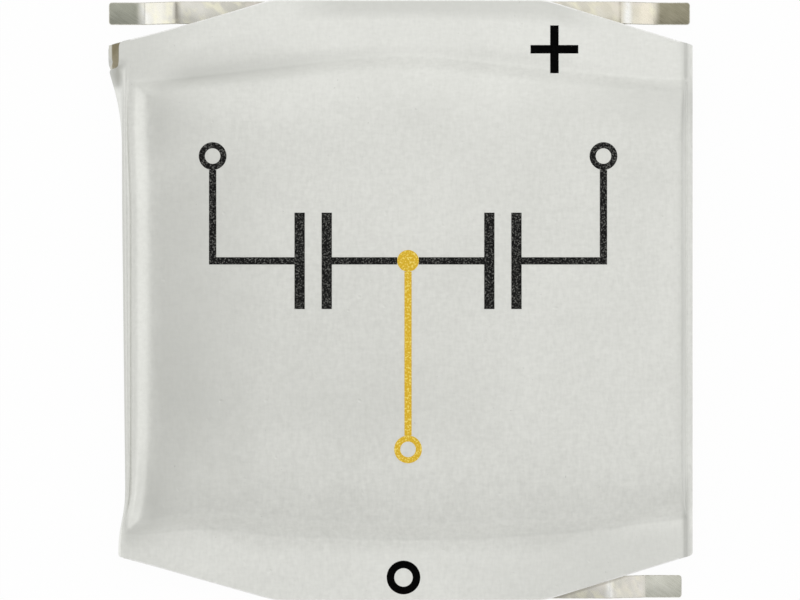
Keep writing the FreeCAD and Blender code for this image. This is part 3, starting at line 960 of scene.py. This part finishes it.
def place_in_mm(group):
    """Object coordinates in millimetres, inside a group."""
    place = group.nodes.new("ShaderNodeTexCoord")
    scale = group.nodes.new("ShaderNodeVectorMath")
    scale.operation = "SCALE"
    scale.inputs["Scale"].default_value = 1 / MM
    group.links.new(place.outputs["Object"], scale.inputs[0])
    return scale.outputs[0]


def noise(group, place, detail):
    """A noise over a place, inside a group."""
    node = group.nodes.new("ShaderNodeTexNoise")
    node.inputs["Detail"].default_value = detail
    group.links.new(place, node.inputs["Vector"])
    return node


print("node groups at the start:", len(bpy.data.node_groups))


# %% Streaks
def streak_group():
    """Noise drawn out along one direction, and a slow cloud of the same surface."""
    settings = {"Across": 8.0, "Along": 0.6, "Turn": 0.0, "Cloud": 0.4}
    group, given, put = group_with("rolled_streaks", settings, ["Streak", "Cloud"])
    nodes, links = group.nodes, group.links
    place = place_in_mm(group)
    turn = nodes.new("ShaderNodeVectorRotate")
    turn.rotation_type = "Z_AXIS"
    links.new(place, turn.inputs["Vector"])
    links.new(given.outputs["Turn"], turn.inputs["Angle"])
    stretch = nodes.new("ShaderNodeCombineXYZ")
    links.new(given.outputs["Across"], stretch.inputs["X"])
    links.new(given.outputs["Along"], stretch.inputs["Y"])
    links.new(given.outputs["Across"], stretch.inputs["Z"])
    drawn = nodes.new("ShaderNodeVectorMath")
    drawn.operation = "MULTIPLY"
    links.new(turn.outputs[0], drawn.inputs[0])
    links.new(stretch.outputs[0], drawn.inputs[1])
    streak = noise(group, drawn.outputs[0], 3.0)
    streak.inputs["Scale"].default_value = 1.0
    cloud = noise(group, place, 2.0)
    links.new(given.outputs["Cloud"], cloud.inputs["Scale"])
    links.new(streak.outputs["Fac"], put.inputs["Streak"])
    links.new(cloud.outputs["Fac"], put.inputs["Cloud"])
    return group


STREAKS = streak_group()
print(STREAKS.name, len(STREAKS.nodes), "nodes")


# %% Speckle
def speckle_group():
    """Small grains, from 0 to 1 with the share of grains set by the cut."""
    settings = {"Grain": 10.0, "Cut": 0.55, "Softness": 0.08}
    group, given, put = group_with("fine_speckle", settings, ["Speckle", "Height"])
    nodes, links = group.nodes, group.links
    grain = noise(group, place_in_mm(group), 2.0)
    links.new(given.outputs["Grain"], grain.inputs["Scale"])
    top = nodes.new("ShaderNodeMath")
    top.operation = "ADD"
    links.new(given.outputs["Cut"], top.inputs[0])
    links.new(given.outputs["Softness"], top.inputs[1])
    cutoff = nodes.new("ShaderNodeMapRange")
    cutoff.interpolation_type = "SMOOTHSTEP"
    links.new(grain.outputs["Fac"], cutoff.inputs["Value"])
    links.new(given.outputs["Cut"], cutoff.inputs["From Min"])
    links.new(top.outputs[0], cutoff.inputs["From Max"])
    links.new(cutoff.outputs["Result"], put.inputs["Speckle"])
    links.new(grain.outputs["Fac"], put.inputs["Height"])
    return group


SPECKLE = speckle_group()
print(SPECKLE.name, len(SPECKLE.nodes), "nodes")


# %% A helper for materials
class Finish:
    """A new material with its shader, and short ways to add nodes to it."""

    def __init__(self, name, metallic=0.0, roughness=0.5):
        self.material = bpy.data.materials.new(name)
        self.material.use_nodes = True
        self.nodes = self.material.node_tree.nodes
        self.links = self.material.node_tree.links
        self.shader = self.nodes["Principled BSDF"]
        self.shader.inputs["Metallic"].default_value = metallic
        self.shader.inputs["Roughness"].default_value = roughness

    def group(self, tree, **values):
        """One of the shared effects, with its settings."""
        node = self.nodes.new("ShaderNodeGroup")
        node.node_tree = tree
        for key, value in values.items():
            node.inputs[key].default_value = value
        return node

    def spread(self, value, low, high, start=0.0, stop=1.0):
        """The value, read between start and stop, spread over low to high."""
        node = self.nodes.new("ShaderNodeMapRange")
        node.inputs["From Min"].default_value = start
        node.inputs["From Max"].default_value = stop
        node.inputs["To Min"].default_value = low
        node.inputs["To Max"].default_value = high
        self.links.new(value, node.inputs["Value"])
        return node.outputs["Result"]

    def mix(self, share, first, second):
        """Two colours, or colour sockets, mixed by a socket."""
        node = self.nodes.new("ShaderNodeMix")
        node.data_type = "RGBA"
        self.links.new(share, node.inputs[0])
        for index, colour in ((6, first), (7, second)):
            if isinstance(colour, tuple):
                node.inputs[index].default_value = (*colour, 1)
            else:
                self.links.new(colour, node.inputs[index])
        return node.outputs[2]

    def place(self, axis):
        """One Object coordinate in millimetres."""
        spot = self.nodes.new("ShaderNodeTexCoord")
        split = self.nodes.new("ShaderNodeSeparateXYZ")
        self.links.new(spot.outputs["Object"], split.inputs[0])
        return self.math("MULTIPLY", split.outputs[axis], 1 / MM)

    def tapered(self, start, slope):
        """Distance from the middle in Y, which grows past a start in X as a tapered end falls back."""
        aside = self.math("SUBTRACT", self.math("ABSOLUTE", self.place("X")), start)
        aside = self.math("MULTIPLY", self.math("MAXIMUM", aside, 0.0), slope)
        return self.math("ADD", self.math("ABSOLUTE", self.place("Y")), aside)

    def painted(self, name):
        """A number that the mesh holds at its points."""
        node = self.nodes.new("ShaderNodeAttribute")
        node.attribute_name = name
        return node.outputs["Fac"]

    def math(self, operation, first, second=None):
        """A sum, a product or the like of sockets and numbers."""
        node = self.nodes.new("ShaderNodeMath")
        node.operation = operation
        for index, value in ((0, first), (1, second)):
            if isinstance(value, (int, float)):
                node.inputs[index].default_value = value
            elif value is not None:
                self.links.new(value, node.inputs[index])
        return node.outputs[0]

    def bump(self, height, strength, depth):
        """Relief from a height, with its depth in millimetres."""
        node = self.nodes.new("ShaderNodeBump")
        node.inputs["Strength"].default_value = strength
        node.inputs["Distance"].default_value = depth * MM
        self.links.new(height, node.inputs["Height"])
        self.links.new(node.outputs[0], self.shader.inputs["Normal"])

    def colour(self, socket):
        """Gives the shader its colour."""
        self.links.new(socket, self.shader.inputs["Base Color"])

    def roughness(self, socket):
        """Gives the shader its roughness."""
        self.links.new(socket, self.shader.inputs["Roughness"])


print("finishes can", ", ".join(name for name in vars(Finish) if name[0] != "_"))

# %% [markdown]
# ### Foil, leads and film
#
# The laminate's outer face is a thin clear film over rolled aluminium, so it is a satin metal. Faint
# streaks along the roll and across it give its fine weave, a slow cloud and a few flecks keep it
# uneven, and the number on its points darkens it with painted shade. The leads are glossier and
# slightly warm, brushed at a slant and faintly stained, with painted highlights and painted shade at
# their bends, painted shade where each run comes out from under the pouch, a painted shadow where the
# balance lead leaves the seal, and darker, tinned feet. The seal film is amber where it shows.

# %% Foil
SEAL_FROM = 8.15  # the flattened ends start here, in millimetres from the middle
SEAL_TIP = 4.6  # and taper beyond this
SEAL_TAPER = 0.30
SEAL_FADE = 0.35
STREAK_DEPTH = 0.003  # depths of the foil's relief, in millimetres
WAVE_DEPTH = 0.03
DENT_DEPTH = 0.006
THREADS = 0.8  # weight of the streaks across the roll
CLOUDS = 0.6  # and of the cloud
GRAIN_RANGE = (0.85, 1.50)  # of the streaks and the cloud together
NOISE_RANGE = (0.3, 0.7)  # most of one noise lies between these
BODY_TONES = ((0.76, 0.765, 0.73), (0.86, 0.865, 0.83))
FLAT_TONES = ((0.82, 0.825, 0.79), (0.90, 0.905, 0.87))  # on the flattened ends
# Tones of the painted shade on the foil
FOIL_IN_SHADE = (0.60, 0.605, 0.575)
FOIL_IN_DEEP_SHADE = (0.47, 0.47, 0.435)  # where the painted shade goes past 1, below the film
DEEP_SHADE_AT = 1.6
FLECK = (0.42, 0.42, 0.40)
FLECK_SHARE = 0.35
FOIL_ROUGHNESS = (0.40, 0.50)


def foil_finish():
    """Satin foil, woven of streaks and darker where shade is painted on its points."""
    finish = Finish("satin_foil", metallic=1.0)
    streaks = finish.group(STREAKS, Across=9.0, Along=3.2, Cloud=0.35)
    crossing = finish.group(STREAKS, Across=9.0, Along=4.2, Turn=math.pi / 2)
    threads = finish.math("MULTIPLY", crossing.outputs["Streak"], THREADS)
    weave = finish.math("ADD", streaks.outputs["Streak"], threads)
    clouds = finish.math("MULTIPLY", streaks.outputs["Cloud"], CLOUDS)
    grain = finish.spread(finish.math("ADD", weave, clouds), 0, 1, *GRAIN_RANGE)
    body = finish.mix(grain, *BODY_TONES)
    flat = finish.mix(grain, *FLAT_TONES)
    along = finish.tapered(SEAL_TIP, SEAL_TAPER)
    sealed = finish.spread(along, 0, 1, SEAL_FROM, SEAL_FROM + SEAL_FADE)
    # The number on the points darkens the foil as painted shade
    shade_amount = finish.painted("painted_shade")
    tone = finish.mix(shade_amount, finish.mix(sealed, body, flat), FOIL_IN_SHADE)
    tone = finish.mix(finish.spread(shade_amount, 0, 1, 1.0, DEEP_SHADE_AT), tone, FOIL_IN_DEEP_SHADE)
    flecks = finish.group(SPECKLE, Grain=7.0, Cut=0.755, Softness=0.04)
    flecked = finish.math("MULTIPLY", flecks.outputs["Speckle"], FLECK_SHARE)
    finish.colour(finish.mix(flecked, tone, FLECK))
    finish.roughness(finish.spread(streaks.outputs["Streak"], *FOIL_ROUGHNESS, *NOISE_RANGE))
    dents = finish.group(SPECKLE, Grain=2.6, Cut=0.70, Softness=0.10)
    height = finish.math("MULTIPLY", streaks.outputs["Streak"], STREAK_DEPTH)
    waves = finish.math("MULTIPLY", streaks.outputs["Cloud"], WAVE_DEPTH)
    pits = finish.math("MULTIPLY", dents.outputs["Speckle"], DENT_DEPTH)
    height = finish.math("SUBTRACT", finish.math("ADD", height, waves), pits)
    finish.bump(height, strength=1.0, depth=1.0)
    return finish.material


foil = foil_finish()
print(foil.name, len(foil.node_tree.nodes), "nodes")

# %% Leads
RUN_TONES = {  # darker and lighter tone, along the end of the pouch
    "positive_terminal": ((0.66, 0.625, 0.52), (0.82, 0.795, 0.72)),
    "negative_terminal": ((0.60, 0.59, 0.54), (0.76, 0.745, 0.69)),
    "balance_terminal": ((0.62, 0.61, 0.55), (0.76, 0.735, 0.69)),
}
FOOT_TONES = {  # and on the foot
    "positive_terminal": ((0.19, 0.175, 0.12), (0.40, 0.375, 0.28)),
    "negative_terminal": ((0.29, 0.295, 0.245), (0.45, 0.455, 0.39)),
    "balance_terminal": ((0.47, 0.47, 0.41), (0.72, 0.72, 0.65)),
}
# Where the tinned foot starts, in millimetres from the middle, and how softly
TINNED_FROM = {"positive_terminal": 8.55, "negative_terminal": 8.66, "balance_terminal": 8.15}
TINNED_FADE = {"positive_terminal": 0.15, "negative_terminal": 0.20, "balance_terminal": 0.08}
# Painted highlights and painted shade for the leads' bends and ramps; the warm one also tints the ramp
BEND_HIGHLIGHT = (0.97, 0.97, 0.95)
SHADED = (0.40, 0.38, 0.33)
BEND_SHADE = (0.44, 0.41, 0.33)
WARM_RAMP_HIGHLIGHT = (0.92, 0.86, 0.73)
RAMP_HIGHLIGHT = (0.90, 0.88, 0.80)
FOOT_BEND_HIGHLIGHT = (0.90, 0.90, 0.87)
BEND_LIGHT_AND_SHADE = {  # painted highlights and painted shade at the bends and ramps: from and to, in millimetres from the middle
    "positive_terminal": ((7.24, 7.37, BEND_SHADE), (7.38, 7.76, BEND_HIGHLIGHT), (7.76, 8.60, WARM_RAMP_HIGHLIGHT)),
    "negative_terminal": ((7.29, 7.63, SHADED), (7.60, 8.60, RAMP_HIGHLIGHT), (8.26, 8.80, FOOT_BEND_HIGHLIGHT)),
    "balance_terminal": ((6.78, 7.12, BEND_HIGHLIGHT),),
}
TARNISH = ((0.74, 0.68, 0.66), (0.95, 0.92, 0.70))  # faint pink and straw stains
TARNISH_SHARE = 0.55
STAIN_RANGE = (0.45, 0.65)
PINK_RANGE = (0.4, 0.6)
STREAK_RANGE = (0.25, 0.75)
LEAD_ROUGHNESS = (0.24, 0.32)
MARK_FADE = 0.40  # share of a mark's width over which it fades at each side
MARK_SHARE = 0.85
RUN_END_SHADE = (0.45, 0.44, 0.38)  # painted shade towards the inner end of a run, where it comes out from under the pouch
RUN_END_SHADE_X = (4.3, 6.6)
EXIT_SHADE = {"balance_terminal": 0.60}  # painted shadow of the seal's edge: a dark line where the lead leaves the seal
EXIT_WIDTH = 0.11


def lead_finish(node):
    """Brushed, stained metal with painted highlights and painted shade at one lead's bends, and its tinned
    foot.
    """
    finish = Finish(node.replace("terminal", "lead_metal"), metallic=1.0)
    brushed = finish.group(STREAKS, Across=20.0, Along=1.6, Turn=math.radians(-55), Cloud=1.1)
    stains = finish.group(STREAKS, Across=3.4, Along=1.7, Turn=math.radians(-35), Cloud=0.8)
    out = finish.math("ABSOLUTE", finish.place("X"))
    fade = TINNED_FADE[node]
    foot = finish.spread(out, 0, 1, TINNED_FROM[node] - fade, TINNED_FROM[node] + fade)
    cloud = finish.spread(brushed.outputs["Cloud"], 0, 1, *NOISE_RANGE)
    streak = finish.spread(brushed.outputs["Streak"], 0, 1, *STREAK_RANGE)
    # Painted shade towards the inner end of the run, where it comes out from under the pouch
    run = finish.mix(finish.spread(out, 0, 1, *RUN_END_SHADE_X), RUN_END_SHADE, finish.mix(cloud, *RUN_TONES[node]))
    worn = finish.math("MULTIPLY", finish.math("ADD", streak, cloud), 0.5)
    tinned = finish.mix(worn, *FOOT_TONES[node])
    metal = finish.mix(foot, run, tinned)
    # Painted highlights and painted shade at the bends and ramps
    for start, stop, tone in BEND_LIGHT_AND_SHADE[node]:
        fade = MARK_FADE * (stop - start)
        rises = finish.spread(out, 0, MARK_SHARE, start, start + fade)
        falls = finish.spread(out, 1, 0, stop - fade, stop)
        metal = finish.mix(finish.math("MULTIPLY", rises, falls), metal, tone)
    stained = finish.spread(stains.outputs["Streak"], 0, TARNISH_SHARE, *STAIN_RANGE)
    stained = finish.math("MULTIPLY", stained, finish.math("SUBTRACT", 1.0, foot))
    stain = finish.mix(finish.spread(stains.outputs["Cloud"], 0, 1, *PINK_RANGE), *TARNISH)
    metal = finish.mix(stained, metal, stain)
    # A painted shadow of the seal's edge on the lead
    if node in EXIT_SHADE:
        beyond = finish.tapered(TIP_RIGHT, FOLD_TAPER / (fold_x - TIP_RIGHT))
        exit_shadow = finish.spread(beyond, EXIT_SHADE[node], 0, end_y + EXIT_WIDTH / 2, end_y + EXIT_WIDTH)
        metal = finish.mix(exit_shadow, metal, SHADED)
    finish.colour(metal)
    finish.roughness(finish.spread(brushed.outputs["Streak"], *LEAD_ROUGHNESS, *NOISE_RANGE))
    finish.bump(brushed.outputs["Streak"], strength=0.12, depth=0.004)
    return finish.material


lead_metals = {node: lead_finish(node) for node in STEPS}
print([metal.name for metal in lead_metals.values()])


# %% Cut rims
def rim_finish(name, low, high):
    """Sheared metal, from a darker to a lighter tone."""
    finish = Finish(name, metallic=1.0, roughness=0.4)
    cut_marks = finish.group(SPECKLE, Grain=9.0, Cut=0.4, Softness=0.25)
    finish.colour(finish.mix(cut_marks.outputs["Speckle"], low, high))
    finish.bump(cut_marks.outputs["Height"], strength=0.2, depth=0.004)
    return finish.material


foil_rim = rim_finish("cut_foil_edge", (0.84, 0.84, 0.82), (0.90, 0.90, 0.885))
lead_rim = rim_finish("sheared_lead_edge", (0.58, 0.565, 0.50), (0.74, 0.725, 0.66))
print(foil_rim.name, lead_rim.name)

# %% Seal film
PALE_RIM = -9.62  # left of this the spread film is thin and pale
RIM_FADE = 0.02
AMBER_TONES = ((0.25, 0.215, 0.13), (0.36, 0.32, 0.22))
THIN_FILM = (0.72, 0.71, 0.64)


def film_finish():
    """Mottled amber polymer with a pale outer rim."""
    finish = Finish("amber_film", roughness=0.3)
    mottle = finish.group(SPECKLE, Grain=2.5, Cut=0.35, Softness=0.4)
    amber_tone = finish.mix(mottle.outputs["Speckle"], *AMBER_TONES)
    edge = finish.spread(finish.place("X"), 1, 0, PALE_RIM - RIM_FADE, PALE_RIM + RIM_FADE)
    finish.colour(finish.mix(edge, amber_tone, THIN_FILM))
    finish.bump(mottle.outputs["Height"], strength=0.2, depth=0.01)
    return finish.material


amber = film_finish()
print(amber.name, len(amber.node_tree.nodes), "nodes")

# %% [markdown]
# ### Ink and the pieces inside
#
# The diagram's ink is thin and the foil's grain breaks through it as light specks; the two small
# marks are solid. Inside, the plates are carbon on aluminium foil with a bare tab, and the separators
# are porous paper.

# %% Inks
def ink_finish(name, dark, light, grain=20.0, share=0.47, shine=0.12):
    """Ink with light specks: a higher share leaves fewer of them."""
    finish = Finish(name, roughness=0.6)
    finish.shader.inputs["Specular IOR Level"].default_value = shine
    specks = finish.group(SPECKLE, Grain=grain, Cut=share, Softness=0.2)
    finish.colour(finish.mix(specks.outputs["Speckle"], dark, light))
    finish.bump(specks.outputs["Height"], strength=0.2, depth=0.006)
    return finish.material


black = ink_finish("black_ink", (0.003, 0.003, 0.003), (0.15, 0.15, 0.14), share=0.49)
gold = ink_finish("gold_ink", (0.78, 0.49, 0.03), (1.0, 0.80, 0.18), grain=14.0)
solid_black = ink_finish("solid_black_ink", (0.001, 0.001, 0.001), (0.003, 0.003, 0.003), shine=0.02)
print(black.name, gold.name, solid_black.name)

# %% Plates and separators
COATED = 5.78  # the carbon ends here, in millimetres from the middle
COAT_FADE = 0.05
CARBON_TONES = ((0.012, 0.012, 0.013), (0.035, 0.035, 0.037))
BARE_FOIL = (0.80, 0.81, 0.82)
PLATE_ROUGHNESS = (0.85, 0.3)  # of the carbon and of the bare foil
PAPER_TONES = ((0.74, 0.73, 0.69), (0.88, 0.87, 0.84))


def plate_finish():
    """Matt carbon that ends at the bare foil of a tab."""
    finish = Finish("carbon_on_foil")
    specks = finish.group(SPECKLE, Grain=18.0, Cut=0.45, Softness=0.2)
    bare = finish.spread(finish.math("ABSOLUTE", finish.place("Y")), 0, 1, COATED, COATED + COAT_FADE)
    coat = finish.mix(specks.outputs["Speckle"], *CARBON_TONES)
    finish.colour(finish.mix(bare, coat, BARE_FOIL))
    finish.links.new(bare, finish.shader.inputs["Metallic"])
    finish.roughness(finish.spread(bare, *PLATE_ROUGHNESS))
    finish.bump(specks.outputs["Height"], strength=0.4, depth=0.01)
    return finish.material


def paper_finish():
    """Porous paper with short fibres."""
    finish = Finish("separator_paper", roughness=0.85)
    fibres = finish.group(STREAKS, Across=9.0, Along=3.0, Turn=0.6, Cloud=1.2)
    finish.colour(finish.mix(fibres.outputs["Streak"], *PAPER_TONES))
    finish.bump(fibres.outputs["Streak"], strength=0.4, depth=0.01)
    return finish.material


carbon = plate_finish()
paper = paper_finish()
print(carbon.name, paper.name)


# %% Give every piece its finish
def paint(piece, *materials):
    """Fills a piece's material slots in order."""
    while len(piece.data.materials) < len(materials):
        piece.data.materials.append(None)
    for index, material in enumerate(materials):
        piece.data.materials[index] = material


for name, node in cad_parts.items():
    if "plate" in name:
        paint(node, carbon)
    elif "separator" in name:
        paint(node, paper)
    else:
        paint(node, amber)
paint(film, amber)
paint(pouch, foil, foil_rim)
for node, strip in strips.items():
    paint(strip, lead_metals[node], lead_rim)
for ink, marks in ((solid_black, (sign, ring)), (black, black_marks), (gold, gold_marks)):
    for mark in marks:
        paint(mark, ink)
print(len(bpy.data.materials), "materials")

# %% [markdown]
# ## Real size, and a place in the frame
#
# Each new piece is shrunk from millimetres to metres in its mesh, so that its object stays at the
# origin, and is shaded smooth except at true edges. Then it rides on the part's one body, and the
# pouch, the film and the strips stand for the packed solids of the same pieces.

# %% Shrink, shade and attach
SMOOTH = math.radians(35)  # facets that meet at less than this are shaded as one surface


def to_metres(piece):
    """Shrinks a piece's mesh and shades it."""
    open_piece(piece)
    bpy.ops.mesh.select_all(action="SELECT")
    bpy.ops.transform.resize(value=(MM, MM, MM), center_override=(0, 0, 0))
    bpy.ops.object.mode_set(mode="OBJECT")
    bpy.ops.object.shade_smooth_by_angle(angle=SMOOTH)


triangles = 0
for piece in pieces:
    to_metres(piece)
    piece.data.calc_loop_triangles()
    triangles += len(piece.data.loop_triangles)
    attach(piece, "root")
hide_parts("laminate_pouch")
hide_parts("barrier_film")
for node, strip in strips.items():
    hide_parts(node)
print(len(pieces), "new pieces,", triangles, "triangles")

# %% [markdown]
# ## Light, floor and camera
#
# The photograph looks straight down on a white ground. A satin metal shows what is around it: a broad
# soft light above brightens the face, a low one on the left draws the bright line down the left wall,
# a small one on the right picks out the fold, and three beyond the ends light the sealed flaps and
# the steps of the leads. The floor glows white for the camera and for reflections, and its plain part
# keeps a faint shadow.

# %% Soft lights
LAMPS = {  # place and size in millimetres, power in watts
    "overhead_light": ((35, 67, 190), (200, 166), 0.0348),
    "low_left_light": ((-98, 0, 50), (150, 65), 0.0140),
    "right_light": ((100, 0, 72), (120, 36), 0.0055),
    "far_light": ((0, 120, 85), (200, 90), 0.0120),
    "near_light": ((0, -120, 85), (200, 90), 0.0060),
    "low_far_light": ((0, 150, 12), (250, 24), 0.0120),
}
SKY = (1.0, 1.0, 0.985)
SKY_STRENGTH = 0.68


def soft_light(name, place, size, power):
    """A rectangular lamp at a place in millimetres, aimed at the part."""
    lamp = bpy.data.lights.new(name, "AREA")
    lamp.shape = "RECTANGLE"
    lamp.size = size[0] * MM
    lamp.size_y = size[1] * MM
    lamp.energy = power
    holder = bpy.data.objects.new(name, lamp)
    bpy.context.scene.collection.objects.link(holder)
    holder.location = Vector(place) * MM
    holder.rotation_euler = (-holder.location).to_track_quat("-Z", "Y").to_euler()


for name, (place, size, power) in LAMPS.items():
    soft_light(name, place, size, power)
world = bpy.data.worlds.new("studio")
bpy.context.scene.world = world
world.use_nodes = True
sky = world.node_tree.nodes["Background"]
sky.inputs["Color"].default_value = (*SKY, 1)
sky.inputs["Strength"].default_value = SKY_STRENGTH

# %% White floor
FLOOR = 900  # millimetres on each side
FLOOR_DROP = 0.01  # it lies this far below the part
GLOW_SHARE = 0.95  # the rest is plain white, which takes the shadow
deselect_all()
bpy.ops.mesh.primitive_plane_add(size=FLOOR * MM, location=(0, 0, -FLOOR_DROP * MM))
floor = bpy.context.object
floor.name = "white_floor"
white = Finish("white_ground", roughness=0.9)
white.shader.inputs["Base Color"].default_value = (1.0, 1.0, 1.0, 1)
glow = white.nodes.new("ShaderNodeEmission")
seen = white.nodes.new("ShaderNodeLightPath")
shown = white.math("MAXIMUM", seen.outputs["Is Camera Ray"], seen.outputs["Is Transmission Ray"])
shown = white.math("MAXIMUM", shown, seen.outputs["Is Glossy Ray"])
both = white.nodes.new("ShaderNodeMixShader")
white.links.new(white.math("MULTIPLY", shown, GLOW_SHARE), both.inputs[0])
white.links.new(white.shader.outputs[0], both.inputs[1])
white.links.new(glow.outputs[0], both.inputs[2])
white.links.new(both.outputs[0], white.nodes["Material Output"].inputs["Surface"])
paint(floor, white.material)
print("floor", floor.name)

# %% Camera
PIXELS_PER_MM = 30.0
IMAGE = (800, 600)
CENTRE_PIXEL = (400.5, 300.0)  # the pixel over the part's origin
HEIGHT = 160.0  # of the camera over the part's middle, in millimetres
CLIP = (0.01, 2.0)  # nearest and farthest that it sees, in metres
camera = bpy.data.cameras.new("camera")
holder = bpy.data.objects.new("camera", camera)
bpy.context.scene.collection.objects.link(holder)
offset = Vector((IMAGE[0] / 2 - CENTRE_PIXEL[0], CENTRE_PIXEL[1] - IMAGE[1] / 2)) / PIXELS_PER_MM
holder.location = Vector((offset.x, offset.y, mid_z + HEIGHT)) * MM
camera.lens = camera.sensor_width * HEIGHT * PIXELS_PER_MM / IMAGE[0]
camera.clip_start, camera.clip_end = CLIP
bpy.context.scene.camera = holder
bpy.context.scene.view_settings.view_transform = "Standard"
print("lens", round(camera.lens, 1), "mm")
